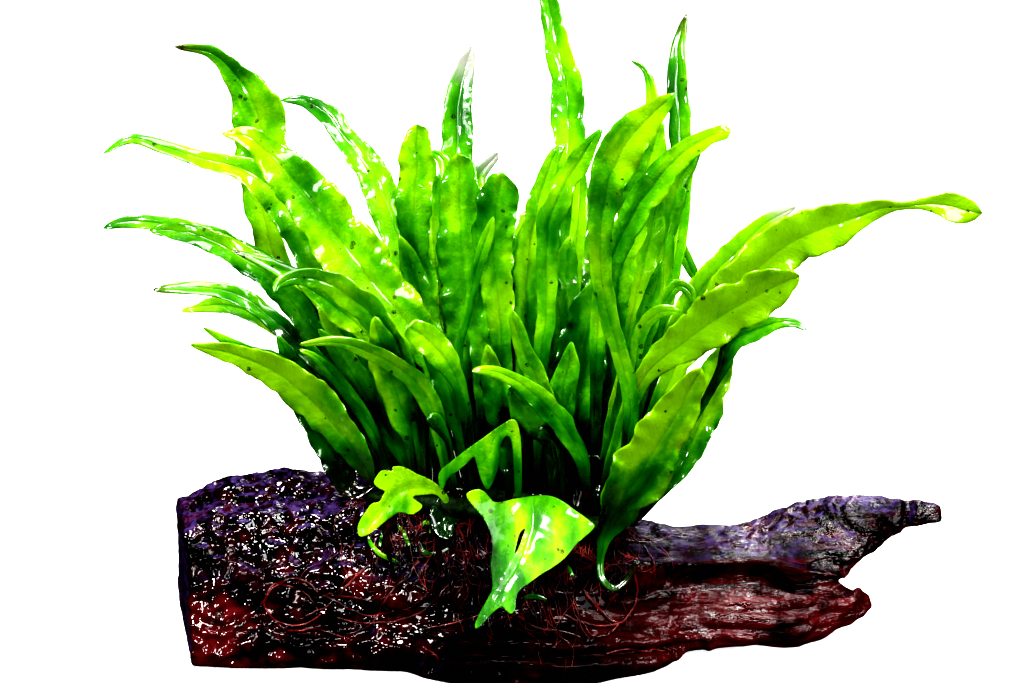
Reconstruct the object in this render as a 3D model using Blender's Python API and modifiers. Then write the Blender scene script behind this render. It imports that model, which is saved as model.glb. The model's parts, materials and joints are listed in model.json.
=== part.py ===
"""Java fern grown over a piece of driftwood, standing on the flat underside of the wood.

Metres, +Z up, the wood lying along X. The fronds are laid out as they are seen from the
front, a little from above: (x, h) in millimetres on the plane that faces the viewer.
"""

import math

import bpy
import bmesh
import numpy as np
from mathutils import Matrix, Vector

MM = 0.001

# The viewing line that the fronds are laid out along
VIEW_ELEVATION = math.radians(15.0)
VIEW_DISTANCE = 700.0
VIEW_TARGET = (0.0, 0.0, 100.0)

# Wood
WOOD_VOXEL = 3.6
WOOD_LUMP = 3.2
WOOD_TRIANGLES = 1900
FORK_X = 51.0
PIECE_GAP = 0.3
SAWN_END = -108.3
SAWN_END_TURN = math.radians(12.5)
DIVIDE_TILT = math.radians(-42.0)
DIVIDE_MIDDLE = (0.0, -7.0, 21.0)

# Stems and roots
RHIZOME_RADIUS = 3.2
ROOT_VOXEL = 3.6
ROOT_TRIANGLES = 330

# Fronds
BLADE_THICKNESS = 0.7
STALK_THICKNESS = 1.5
BLADE_ROWS = 9
LAY_CELL = 1.0
LAY_GAP = 0.75
LEAN = 0.55
FOLD = 0.09
BLADE_ROLL = math.radians(24.0)

# Strands that grew together as the wood: x, y, z and radius in millimetres
LOG_STRANDS = (
    ((-114, 12, 31, 10), (-101, 12, 35, 11), (-90, 12, 38.5, 11), (-78, 13, 40.5, 11.3),
     (-58, 12, 40, 12), (-36, 12, 37, 12.5), (-8, 11, 33, 13), (26, 10, 26, 12.5),
     (52, 9, 22, 11)),
    ((-112, -10, 33, 10), (-92, -10, 37.5, 10), (-75, -10, 39, 10.5), (-50, -10, 38, 11),
     (-20, -9, 34, 12), (15, -8, 28, 12.5), (48, -4, 20, 11)),
    ((-112, -15, 24, 11), (-70, -16, 24, 11), (-30, -18, 23, 12), (10, -20, 20, 13),
     (42, -16, 16, 12), (54, -14, 13, 10)),
    ((-112, -17, 6, 12), (-70, -18.5, 5, 13), (-30, -21, 5, 13), (5, -23, 6, 13),
     (44, -18, 8, 11)),
    ((-114, 11, 11, 14), (-60, 12, 10, 14.5), (0, 12, 9, 14.5), (50, 9, 11, 12)),
    ((-112, 0, 25, 15), (-50, 0, 24, 17), (0, -3, 20, 17), (44, -4, 16, 12)),
    ((-112, -1, 5, 13), (-50, -1, 4, 14), (0, -4, 3, 15), (46, -5, 6, 12)),
    ((-27, -30, 5, 8), (-17, -34.5, 5, 11), (14, -36.5, 5, 11), (32, -32.5, 6.5, 9),
     (46, -28, 8, 8), (56, -21, 9.5, 6)),
)
UPPER_STRANDS = (
    ((44, 7, 21.5, 10.5), (60, 8, 22.3, 10.5), (75, 8, 25, 10.3), (88, 8, 29, 9.8),
     (100, 8, 33.8, 9.8), (109, 7, 36.3, 9), (119, 6, 39.6, 6), (130, 5, 41, 4),
     (137, 4, 40.3, 3.8), (142, 4, 39.3, 3.4)),
    ((50, -1, 26, 5.5), (74, -1.5, 26.5, 6.3), (87, -2, 26.5, 7), (98, -2, 27, 7),
     (107, -1, 28.8, 6.8), (114, 1, 31.8, 6), (120, 3, 35.5, 5), (127, 5, 39.3, 3.6)),
)
LOWER_STRANDS = (
    ((40, -15, 11, 12), (56, -14.5, 11, 11.2), (71, -14, 11.8, 10.5), (86, -14, 12.4, 10.5),
     (97, -13, 13.3, 9.4), (107, -12, 14.2, 6.8), (113, -11, 14.8, 4.6), (118, -10, 15.3, 2.4)),
)
# Creeping stems along the top of the wood: x, y, z
RHIZOMES = (
    ("rhizome_front", -0.45, ((-46, -14, 52), (-25, -15.5, 50.5), (-5, -16, 48),
                              (15, -15.5, 45), (36, -14, 41))),
    ("rhizome_middle", -0.04, ((-43, -2, 51.5), (-20, -2.5, 50), (0, -2.5, 47), (18, -2, 44),
                               (38, -3, 40))),
    ("rhizome_back", 9.0, ((-40, 10, 54.5), (-12, 11, 51), (12, 10, 47.5), (38, 9, 42.5))),
)

# Matted roots between the stems and the wood, and down its front: x, y, z and radius
ROOT_STRANDS = (
    ((-49, -12, 46, 5), (-25, -12, 44.5, 6), (-5, -12, 41, 6), (15, -12, 38, 6),
     (39, -11, 33, 5)),
    ((-43, 9, 48, 5), (-12, 9, 44.5, 6), (12, 9, 40, 6), (41, 8, 35.5, 5)),
    ((-44, -2, 47, 5), (-12, -2, 43, 6), (12, -2, 38.5, 6), (38, -2, 33, 5)),
    ((-41, -17, 44, 4), (-39, -24, 38, 3.6), (-37, -27.5, 27, 3.4), (-38, -30, 15, 3.2)),
    ((-24, -19, 42, 4), (-22, -27, 35, 3.6), (-24, -30, 24, 3.4), (-23, -33, 13, 3.2)),
    ((8, -20, 36, 4), (10, -28.5, 29, 3.6), (14, -32, 20, 3.4)),
    ((34, -16, 31, 4), (37, -22.5, 25, 3.6), (40, -26, 17, 3.2)),
)

# Fronds by name: place from front (-1) to back (+1), where the stalk starts along the stems
# (or its own x, h and depth), and the midrib as it is seen: x, h and width of blade
FRONDS = (
    ("left_01", 0.05, -26, ((-50, -16, 4), (-71, 16, 8), (-78.5, 36, 10), (-80.5, 52, 14),
        (-80.3, 68, 17), (-84, 79, 13), (-90, 87.3, 7), (-97, 93, 4), (-108, 94.3, 1.5))),
    ("left_02", -0.25, -38, ((-48, -12, 6), (-58, 14, 12), (-65, 33, 15), (-74, 46.5, 13),
        (-86, 55, 8), (-100, 58.5, 5.5), (-112, 62.5, 4.5), (-122, 64.8, 3), (-131, 60, 1))),
    ("left_03", -0.42, -26, ((-24, -12, 7), (-32, 4, 15), (-45, 19, 19), (-56, 34, 18.5),
        (-67.5, 49, 16), (-77, 59.5, 11), (-85, 65.5, 6.5), (-93, 66.5, 1.2))),
    ("left_04", -0.12, -42, ((-55, -8, 6), (-66, 6.5, 8), (-76, 19.5, 9), (-86, 26.8, 8.5),
        (-98, 33, 7), (-109, 35.5, 5.5), (-116, 35.5, 2))),
    ("left_05", 0.0, -32, ((-48, -14, 4), (-60, 3, 5), (-76, 22.3, 7), (-92, 31.8, 7),
        (-106, 36.5, 6), (-118, 38.3, 4.5), (-125, 38, 3.5), (-131, 36.2, 1.4))),
    ("left_06", -0.33, -33, ((-44, -10, 5), (-55, 8, 6), (-65, 18, 6), (-77, 24.5, 4.5),
        (-89, 29, 1.2))),
    ("left_07", -0.62, -28, ((-32, -14, 6), (-42, 5, 9), (-52, 14.5, 8.5), (-61, 19.5, 7),
        (-69, 20.5, 5), (-74.5, 18.5, 3.5), (-76, 15, 1.2))),
    ("left_08", -0.52, -31, ((-36, -12, 5), (-46, 2, 6), (-54, 9, 9), (-62, 15, 6),
        (-69, 19, 1.5))),
    ("left_09", -0.37, -44, ((-54, -16, 5), (-66, -3, 6), (-76, 6.5, 6), (-86, 14, 6),
        (-97, 17, 5), (-108, 17, 3.5), (-115, 16.5, 1.5))),
    ("left_10", -0.22, -41, ((-52, -20, 5), (-64, -5, 5), (-76, 4.8, 5), (-87, 10.5, 5.5),
        (-96, 11.6, 5), (-106, 9.7, 1.2))),
    ("left_11", -0.85, -45, ((-49, -37, 8), (-56, -27.5, 11.5), (-65, -18, 13), (-76, -9.5, 10),
        (-87, -4.7, 7.5), (-96, -2.3, 4.5), (-103, -1, 1.2))),
    ("left_12", -0.62, -46, ((-51, -48, 6), (-56, -38, 10.5), (-61, -27, 12), (-66.5, -15, 10),
        (-72, -4, 5), (-75, 2, 1.5))),
    ("left_13", -0.1, -45, ((-52, -30, 8), (-59, -16, 12), (-66, -5, 10), (-71, 1, 5),
        (-74, 4, 1.5))),
    ("left_14", -0.02, -36, ((-48, -20, 8), (-58, -2, 13), (-66, 10, 12), (-73, 18, 7),
        (-78, 24, 1.5))),
    ("left_15", -0.78, -20, ((-23, -30, 5), (-27, -18, 7), (-34, -10, 6), (-44, -4, 5.5),
        (-56, 0, 3.5), (-68, -1, 1.2))),
    ("left_17", -0.82, -12, ((-14, -28, 4), (-17, -14, 5), (-22, -5, 8.5), (-27.5, 1, 10),
        (-33.5, 5, 6))),
    ("centre_01", 0.1, -28, ((-30, -10, 5), (-31, 15, 9), (-34.5, 28, 11), (-38.7, 40, 12),
        (-43.8, 52, 10.5), (-49.5, 60.5, 8.5), (-55, 67.5, 7.5), (-60, 73.3, 6.5),
        (-66.5, 77, 4), (-74, 77.2, 1.2))),
    ("centre_02", -0.05, -24, ((-24, -10, 6), (-28, 15, 8), (-31.3, 35, 10),
        (-31, 48, 11.5), (-30.3, 58, 11), (-30, 65, 9.5), (-30.5, 69.5, 6))),
    ("centre_03", 0.3, -16, ((-17, 0, 7), (-18, 30, 9), (-17.6, 55, 10.5), (-17.3, 70, 9.5),
        (-16.5, 80, 8), (-14.8, 88, 6), (-13, 94.5, 3))),
    ("centre_04", 0.42, -12, ((-14, 0, 6), (-14.5, 30, 8), (-13, 46, 7), (-10, 54, 5),
        (-4.5, 60.5, 3))),
    ("centre_05", -0.15, -12, ((-13, -15, 8), (-14, 5, 15), (-15.5, 25, 17), (-16.5, 42, 14),
        (-17, 53, 10.5), (-17.5, 60, 5))),
    ("centre_06", -0.32, -1, ((-3, -5, 6), (-4.5, 15, 10), (-6, 28, 12), (-5.6, 38, 13.5),
        (-4.4, 47, 12.5), (-3, 54, 6))),
    ("centre_07", -0.44, -9, ((-15, -30, 2.5), (-17, -5, 2.5), (-14, 10, 3), (-11, 24, 4),
        (-8, 33, 4), (-6, 40, 1.2))),
    ("centre_09", -0.22, 4, ((4, -10, 6), (4.5, 10, 8), (5.5, 28, 8.5), (8, 42, 7.5),
        (11, 53, 5.5), (14, 60, 4), (17, 63, 1.5))),
    ("centre_10", -0.4, 8, ((9, -10, 5), (11, 10, 6), (11, 26, 7), (12.5, 40, 8),
        (17.5, 51, 7.5), (23, 60, 6.5), (29, 68.5, 1.2))),
    ("centre_12", 0.35, 14, ((15, 0, 7), (17, 30, 8), (18, 55, 8.5), (18, 72, 10),
        (16.2, 87, 9.2), (13.4, 100, 7.2), (11.5, 109, 5.7), (10.8, 116, 3.7), (11, 122, 1.3))),
    ("centre_13", -0.5, 16, ((13, -25, 5), (8, -12, 7), (4, -3, 6), (1, 6, 4), (0, 10, 1.2))),
    ("right_01", -0.3, 20, ((20.5, -35, 4), (21.5, -20, 12), (22.5, -5, 16), (25, 8, 14),
        (27.5, 18, 7), (29, 25, 1.5))),
    ("right_02", -0.75, 36, ((38, -22, 5), (35, -6, 5.5), (30.5, 10, 6), (28.5, 25, 7),
        (29, 40, 9), (31.8, 53.5, 13), (37.3, 64.3, 13.5), (45, 72.7, 9), (52.5, 79.5, 2))),
    ("right_03", -0.25, 30, ((32, -5, 6), (34, 15, 8), (37, 32, 9), (40, 46, 10.5),
        (43.5, 56, 10), (46, 65, 7), (48, 71, 1.5))),
    ("right_04", 0.2, 40, ((44, -10, 5), (50, 15, 5), (53.5, 35, 5.5), (54.5, 50, 6),
        (54, 65, 7), (53, 80, 7), (53, 92, 5), (54.5, 100, 3), (56, 105, 1.2))),
    ("right_05", 0.1, 34, ((36, 0, 4), (40, 30, 5), (43, 55, 5), (44.5, 72, 4.5),
        (44.5, 81, 3.5), (42.5, 87, 2), (38, 90, 1))),
    ("right_06", -0.55, 26, ((27, -15, 4), (28, 8, 6), (32, 26, 8), (38, 39, 9),
        (46, 51, 9.5), (54, 59.5, 8), (61, 64.5, 5.5), (66, 66.5, 5), (70, 67.5, 6.5))),
    ("right_07", -0.08, 24, ((37, -14, 4), (44, 10, 6), (48, 26, 6.5), (50, 40, 7),
        (54, 52, 7), (58, 59, 4), (61, 63, 1.2))),
    ("right_08", -0.18, 33, ((36, -5, 5), (39, 12, 8), (42, 25, 9), (44.5, 36, 8.5),
        (46.5, 46, 5), (47.5, 52, 1.5))),
    ("right_09", 0.15, 42, ((48, -8, 5), (56, 10, 8), (64, 21, 9), (72, 29, 8),
        (80, 37, 6), (87, 41.5, 3.5), (91, 43, 1.2))),
    ("right_10", -0.03, 34, ((46, -22, 5), (54, -5, 9), (64, 8.5, 13), (76, 21.3, 15),
        (88, 31, 16), (100, 36.4, 15.5), (111, 40, 9), (119, 43, 5.2), (125, 43.5, 2.7),
        (132, 44.1, 4.2), (139, 43.5, 8), (145, 42, 9.5), (150.5, 41, 4))),
    ("right_11", -0.7, 28, ((31, -42, 4), (37, -22, 5), (44, -9, 7), (54, -1, 13),
        (64, 6.5, 16), (75, 13, 16), (85, 18, 12), (92, 21, 4))),
    ("right_12", -0.35, 40, ((43, -50, 2), (50, -38, 2.2), (60, -22, 2.5), (66.5, -10, 3.5),
        (71, -0.5, 6.5), (77, 3.2, 6.5), (84, 5.8, 4.5), (90, 6, 3), (94.5, 3.5, 1.2))),
    ("right_13", -0.76, (40, -70, -31), ((37, -76, 2.2), (32.5, -79, 2.2), (28.6, -75, 2.2),
        (28.6, -67, 3), (31, -59, 8), (36, -50, 15), (41.5, -41, 18), (47, -32.5, 16.5),
        (53.2, -22, 12.5), (58, -13, 7.5), (60.5, -8.5, 3))),
    ("right_14", -0.3, 33, ((38, -57, 3), (44, -51.5, 4), (50, -45, 5), (55.5, -37, 8),
        (60, -26.5, 11), (64, -14, 11.5), (68, -4.5, 7), (71, 3, 1.2))),
    ("right_15", -0.45, 24, ((29, -40, 3), (32, -28, 5), (34.5, -17, 5.5), (35.5, -10, 3.5),
        (35.5, -6, 1.2))),
    ("front_03", -0.9, 24, ((23, -41, 4), (20, -32.5, 6), (15.3, -25.5, 7.5), (9, -19, 7.5),
        (3, -13.6, 5.2), (-4, -10.2, 4), (-9, -9.2, 3), (-12.8, -9.3, 1.3))),
    ("back_01", 0.95, -20, ((-32, -12, 7), (-45, 14, 12), (-51, 27, 13), (-56, 37, 8),
        (-59, 42, 2))),
    ("back_02", 0.75, -22, ((-22, 0, 8), (-21, 18, 11), (-19, 34, 13), (-19, 46, 9),
        (-20, 52, 2))),
    ("back_03", 1.1, -5, ((-4, 0, 7), (-1, 16, 10), (2, 28, 12), (4, 37, 8), (5, 42, 2))),
    ("back_04", 0.85, 12, ((15, 5, 8), (20, 22, 12), (24, 36, 14), (27, 46, 9), (29, 52, 2))),
    ("back_05", 1.1, 24, ((29, 0, 8), (37, 16, 11), (43, 28, 12), (47, 36, 7), (49, 40, 2))),
    ("back_06", 0.55, 24, ((38, -18, 5), (51, -2, 10), (61, 8, 12), (70, 16, 9), (77, 22, 2))),
)

# Broad forked fronds that hang over the front of the wood: name, where the stalk leaves the
# stem as seen (x, h) and its depth, how much further forward the far end lies and how far off
# that is, the line it is domed about, then its edge and any slit in it, as seen: x and h
HANGING = (
    ("front_01", (6, -48), -19.6, -30.0, 44.0, 6.0, (
        (-15.2, -49), (-12.5, -47.3), (-9.5, -47.3), (-7.4, -49.6), (-5.5, -51.9), (0, -50.5),
        (5, -49.6), (11, -49), (15, -50.2), (20, -53.8), (25, -57.4), (27, -59), (24.6, -61.5),
        (20.3, -65), (17.8, -68.6), (14, -71.8), (9, -74.6), (6, -77), (2, -79.8), (1.1, -83),
        (1.4, -85.4), (0, -87.4), (-1.7, -86.4), (-3, -84.4), (-6, -86.5), (-9, -90),
        (-11.3, -92.3), (-12.2, -91), (-10.5, -87), (-8.5, -83.5), (-6, -79), (-6.5, -75),
        (-7, -70), (-6, -65), (-7, -61), (-9, -56.5), (-13, -52)),
     ((4.6, -59.4), (2.4, -61), (1.6, -64.5), (0.6, -68.6), (2.2, -66), (3.4, -62.5))),
    ("front_02", (2, -50.5), -19.6, -11.0, 40.0, -4.0, (
        (1.0, -24), (-3, -26.4), (-6, -28.4), (-10, -31.4), (-15, -34.8), (-20, -38.8),
        (-23.8, -41.7), (-23.4, -46.5), (-22, -48), (-20.8, -43.6), (-17, -41.4), (-13, -37.6),
        (-12, -36.6), (-10.9, -41), (-9.9, -44.5), (-8, -48), (-6.3, -46), (-4.5, -41.5),
        (-4, -37), (-3.8, -33), (-2, -29.8), (0, -31), (0.6, -40), (0.8, -50.5), (3.2, -50.5),
        (3.2, -40), (2.8, -29)),
     ()),
    ("front_06", (-21, -51.5), -20.2, -16.0, 30.0, -34.0, (
        (-38.6, -40), (-35.5, -39.8), (-33, -40.8), (-30.5, -42.4), (-27.5, -43.5), (-25, -44.9),
        (-22.3, -47), (-19.6, -50.6), (-21.5, -52.4), (-24, -48.6), (-28, -49), (-32.4, -49.5),
        (-30.5, -51), (-28, -52.7), (-31, -55.2), (-33, -55.4), (-36, -54.4), (-38.5, -56),
        (-41.5, -58.3), (-44, -60.5), (-46, -61.8), (-48.8, -62.9), (-49.5, -60.5),
        (-49.3, -58.5), (-48, -56), (-46.5, -54), (-45, -51.6), (-42.3, -51.5), (-41.5, -49.5),
        (-40.4, -47.8), (-42, -47.5), (-44.4, -45.6), (-44, -44), (-42, -41.2), (-40, -41.2),
        (-38, -41.6)),
     ()),
)
HANGING_CELLS = 9
HANGING_THICKNESS = 0.9

scene = bpy.context.scene
for thing in list(bpy.data.objects):
    bpy.data.objects.remove(thing, do_unlink=True)
solids = bpy.data.collections.new("java_fern_on_driftwood")
cutters = bpy.data.collections.new("cutters")
for collection in (solids, cutters):
    scene.collection.children.link(collection)


def material(name, colour, roughness):
    made = bpy.data.materials.new(name)
    made.use_nodes = True
    shader = made.node_tree.nodes["Principled BSDF"]
    shader.inputs["Base Color"].default_value = (*colour, 1.0)
    shader.inputs["Roughness"].default_value = roughness
    made.diffuse_color = (*colour, 1.0)
    return made


def add(name, mesh, collection=solids):
    thing = bpy.data.objects.new(name, mesh)
    collection.objects.link(thing)
    if collection == cutters:
        thing.hide_render = True
        thing.display_type = "WIRE"
    return thing


def shaped(thing):
    """The mesh of an object with its modifiers applied."""
    bpy.context.view_layer.update()
    seen_by = thing.evaluated_get(bpy.context.evaluated_depsgraph_get())
    return bpy.data.meshes.new_from_object(seen_by)


def weld(mesh):
    work = bmesh.new()
    work.from_mesh(mesh)
    bmesh.ops.remove_doubles(work, verts=work.verts, dist=0.00001)
    bmesh.ops.recalc_face_normals(work, faces=work.faces)
    work.to_mesh(mesh)
    work.free()
    return mesh


def largest(mesh):
    """Keeps the largest of a mesh's separate bodies, where a cut left crumbs."""
    work = bmesh.new()
    work.from_mesh(mesh)
    left = set(work.verts)
    bodies = []
    while left:
        body = set()
        edge = [left.pop()]
        while edge:
            vertex = edge.pop()
            body.add(vertex)
            near = {e.other_vert(vertex) for e in vertex.link_edges} & left
            left -= near
            edge.extend(near)
        bodies.append(body)
    bodies.sort(key=len)
    for body in bodies[:-1]:
        bmesh.ops.delete(work, geom=list(body), context="VERTS")
    work.to_mesh(mesh)
    work.free()
    return mesh


def settle(thing):
    """Makes the shape that an object's modifiers give its own."""
    mesh = largest(weld(shaped(thing)))
    thing.modifiers.clear()
    thing.data = mesh


def smooth(mesh):
    for face in mesh.polygons:
        face.use_smooth = True


def strands(name, rows, sides=4, steps=5):
    """Round strands of varying thickness, as one mesh of closed tubes."""
    curve = bpy.data.curves.new(name, "CURVE")
    curve.dimensions = "3D"
    curve.bevel_depth = MM
    curve.bevel_resolution = sides
    curve.resolution_u = steps
    curve.use_fill_caps = True
    for row in rows:
        spline = curve.splines.new("NURBS")
        spline.points.add(len(row) - 1)
        spline.order_u = 3
        spline.use_endpoint_u = True
        for point, (x, y, z, radius) in zip(spline.points, row):
            point.co = (x * MM, y * MM, z * MM, 1.0)
            point.radius = radius
    thing = add(name + "_curve", curve, cutters)
    mesh = weld(shaped(thing))
    bpy.data.objects.remove(thing, do_unlink=True)
    return mesh


def box(name, centre, size):
    mesh = bpy.data.meshes.new(name)
    work = bmesh.new()
    bmesh.ops.create_cube(work, size=1.0)
    scale = Matrix.Diagonal((size[0] * MM, size[1] * MM, size[2] * MM, 1.0))
    place = Matrix.Translation(Vector(centre) * MM) @ scale
    bmesh.ops.transform(work, matrix=place, verts=work.verts)
    work.to_mesh(mesh)
    work.free()
    return add(name, mesh, cutters)


def cut(thing, cutter, operation="DIFFERENCE"):
    modifier = thing.modifiers.new(operation.lower(), "BOOLEAN")
    modifier.operation = operation
    modifier.solver = "EXACT"
    modifier.object = cutter


def grown(thing, gap):
    """A copy of a solid, larger all round by the gap, to cut its neighbours with."""
    copy = add(thing.name + "_room", shaped(thing), cutters)
    displace = copy.modifiers.new("grow", "DISPLACE")
    displace.mid_level = 0.0
    displace.strength = gap * MM
    return add(thing.name + "_space", shaped(copy), cutters)


bark = material("wet_driftwood", (0.055, 0.018, 0.022), 0.35)
root = material("matted_roots", (0.12, 0.028, 0.018), 0.6)
stem = material("rhizome", (0.05, 0.16, 0.02), 0.45)
blade = material("frond", (0.16, 0.52, 0.02), 0.35)

# Wood: the strands run together, lumps worn into them, then flat below and sawn on the left
wood = add("wood_whole", strands("wood", LOG_STRANDS + UPPER_STRANDS + LOWER_STRANDS), cutters)
fuse = wood.modifiers.new("fuse", "REMESH")
fuse.mode = "VOXEL"
fuse.voxel_size = WOOD_VOXEL * MM
lumps = bpy.data.textures.new("lumps", "CLOUDS")
lumps.noise_scale = 0.016
lumps.noise_depth = 1
worn = wood.modifiers.new("worn", "DISPLACE")
worn.texture = lumps
worn.texture_coords = "LOCAL"
worn.mid_level = 0.5
worn.strength = WOOD_LUMP * MM
settle(wood)
fewer = wood.modifiers.new("fewer", "DECIMATE")
fewer.ratio = WOOD_TRIANGLES / (2.0 * len(wood.data.polygons))
settle(wood)
floor_box = box("floor_box", (0, 0, -50), (400, 300, 100))
saw = box("saw", (-50, 0, 50), (100, 300, 300))
saw_at = Matrix.Translation((SAWN_END * MM, 0, 0)) @ Matrix.Rotation(SAWN_END_TURN, 4, "Z")
saw.data.transform(saw_at)
cut(wood, floor_box)
cut(wood, saw)
settle(wood)

# It is parted at its fork, and again between the two branches
half_gap = PIECE_GAP / 2.0
right_of_fork = box("right_of_fork", (FORK_X - half_gap + 200, 0, 50), (400, 400, 400))
left_of_fork = box("left_of_fork", (FORK_X + half_gap - 200, 0, 50), (400, 400, 400))
divide_at = Matrix.Translation(Vector(DIVIDE_MIDDLE) * MM) @ Matrix.Rotation(DIVIDE_TILT, 4, "X")
above = box("above_divide", (0, 0, 100 - half_gap), (800, 400, 200))
below = box("below_divide", (0, 0, -100 + half_gap), (800, 400, 200))
for half in (above, below):
    half.data.transform(divide_at)
for name, cuts in (
    ("driftwood_log", (right_of_fork,)),
    ("driftwood_upper_branch", (left_of_fork, below)),
    ("driftwood_lower_branch", (left_of_fork, above)),
):
    piece = add(name, wood.data.copy())
    for cutter in cuts:
        cut(piece, cutter)
    settle(piece)
    piece.data.materials.clear()
    piece.data.materials.append(bark)
    smooth(piece.data)
log_piece = solids.objects["driftwood_log"]

# Creeping stems and the roots matted round them, fitted to the wood with a small gap
rhizomes = []
for name, reach, path in RHIZOMES:
    row = [(x, y, z, RHIZOME_RADIUS) for x, y, z in path]
    row[0] = (*path[0], 0.6 * RHIZOME_RADIUS)
    row[-1] = (*path[-1], 0.6 * RHIZOME_RADIUS)
    piece = add(name, strands(name, (row,), 1, 3))
    piece.data.materials.append(stem)
    smooth(piece.data)
    rhizomes.append(piece)
mat = add("root_mat", strands("roots", ROOT_STRANDS, 2))
fuse = mat.modifiers.new("fuse", "REMESH")
fuse.mode = "VOXEL"
fuse.voxel_size = ROOT_VOXEL * MM
settle(mat)
fewer = mat.modifiers.new("fewer", "DECIMATE")
fewer.ratio = ROOT_TRIANGLES / (2.0 * len(mat.data.polygons))
settle(mat)
for neighbour in (log_piece, *rhizomes):
    cut(mat, grown(neighbour, PIECE_GAP + 0.15))
    settle(mat)
mat.data.materials.clear()
mat.data.materials.append(root)
smooth(mat.data)


def toward(x, h, depth):
    """The point at this depth on the sight line through (x, h) of the plane facing the viewer."""
    ahead = Vector((0.0, math.cos(VIEW_ELEVATION), -math.sin(VIEW_ELEVATION)))
    up = Vector((0.0, math.sin(VIEW_ELEVATION), math.cos(VIEW_ELEVATION)))
    target = Vector(VIEW_TARGET)
    eye = target - VIEW_DISTANCE * ahead
    on_plane = target + Vector((float(x), 0.0, 0.0)) + float(h) * up
    along = (float(depth) - eye.y) / (on_plane.y - eye.y)
    return eye + along * (on_plane - eye)


def as_seen(x, y, z):
    """Where a point in space is seen: (x, h), and its own depth."""
    across = Vector((x, y, z)) - Vector(VIEW_TARGET)
    ahead = math.cos(VIEW_ELEVATION) * across.y - math.sin(VIEW_ELEVATION) * across.z
    up = math.sin(VIEW_ELEVATION) * across.y + math.cos(VIEW_ELEVATION) * across.z
    shrink = VIEW_DISTANCE / (VIEW_DISTANCE + ahead)
    return x * shrink, up * shrink, y


def stalk_start(base, place):
    """On top of the stem for a frond that rises from it, or the point given."""
    if isinstance(base, tuple):
        return base
    path = np.array(next(row[2] for row in RHIZOMES if place < row[1]), dtype=float)
    x = float(np.clip(base, path[0, 0] + 2, path[-1, 0] - 2))
    y = float(np.interp(x, path[:, 0], path[:, 1]))
    z = float(np.interp(x, path[:, 0], path[:, 2]))
    return as_seen(x, y, z + RHIZOME_RADIUS + 1.3)


def through(points, rows):
    """Evenly spaced rows on a smooth line through the points."""
    knots = np.array(points, dtype=float)
    knots = np.vstack([2 * knots[0] - knots[1], knots, 2 * knots[-1] - knots[-2]])
    line = []
    for i in range(1, len(knots) - 2):
        a, b, c, d = knots[i - 1 : i + 3]
        for t in np.linspace(0.0, 1.0, 16, endpoint=False):
            line.append(0.5 * (2 * b + (c - a) * t + (2 * a - 5 * b + 4 * c - d) * t * t
                               + (3 * b - a - 3 * c + d) * t ** 3))
    line.append(knots[-2])
    line = np.array(line)
    length = np.append(0.0, np.cumsum(np.hypot(*np.diff(line[:, :2], axis=0).T)))
    at = np.linspace(0.0, length[-1], rows)
    return np.stack([np.interp(at, length, column) for column in line.T], axis=1), length[-1]


laid = {}


def cells(grid, depth):
    """The cells of the plane that a strip covers, with the depth it has in each."""
    fine_rows = 9
    found = {}
    for i in range(len(grid) - 1):
        for t in np.linspace(0.0, 1.0, fine_rows):
            row = (1 - t) * grid[i] + t * grid[i + 1]
            height = (1 - t) * depth[i] + t * depth[i + 1]
            steps = max(3, int(np.hypot(*(row[-1] - row[0])) / (0.6 * LAY_CELL)))
            for s in np.linspace(0.0, 1.0, steps):
                x, h = (1 - s) * row[0] + s * row[-1]
                at = (1 - s) * height[0] + s * height[-1]
                key = (round(x / LAY_CELL), round(h / LAY_CELL))
                low, high, row_at = found.get(key, (at, at, i))
                found[key] = (min(low, at), max(high, at), row_at)
    return found


def across(midrib, width):
    """The two edges and the midrib of a blade that turns with its midrib."""
    course = np.gradient(midrib, axis=0)
    course /= np.linalg.norm(course, axis=1)[:, None] + 1e-9
    side = np.stack([-course[:, 1], course[:, 0]], axis=1) * (width / 2)[:, None]
    return np.stack([midrib - side, midrib, midrib + side], axis=1)


def lay(grid, depth, thick):
    """Moves a blade back, row by row, until it is just behind those already in front of it."""
    depth = depth.copy()
    for _ in range(14):
        raised = np.zeros(len(grid))
        for key, (low, high, i) in cells(grid, depth).items():
            lack = 0.0
            for dx in (-1, 0, 1):
                for dh in (-1, 0, 1):
                    taken = laid.get((key[0] + dx, key[1] + dh), -1e9)
                    lack = max(lack, taken + LAY_GAP + thick[i] / 2 - low)
            raised[i] = max(raised[i], lack)
            raised[i + 1] = max(raised[i + 1], lack)
        if raised.max() < 0.02:
            break
        depth += raised[:, None]
        eased = depth.copy()
        eased[1:-1] = 0.25 * depth[:-2] + 0.5 * depth[1:-1] + 0.25 * depth[2:]
        depth = np.maximum(eased, np.where(raised[:, None] > 0, depth, eased))
    return depth


def take_room(grid, depth, thick):
    for key, (low, high, i) in cells(grid, depth).items():
        laid[key] = max(laid.get(key, -1e9), high + thick[i] / 2)


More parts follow.
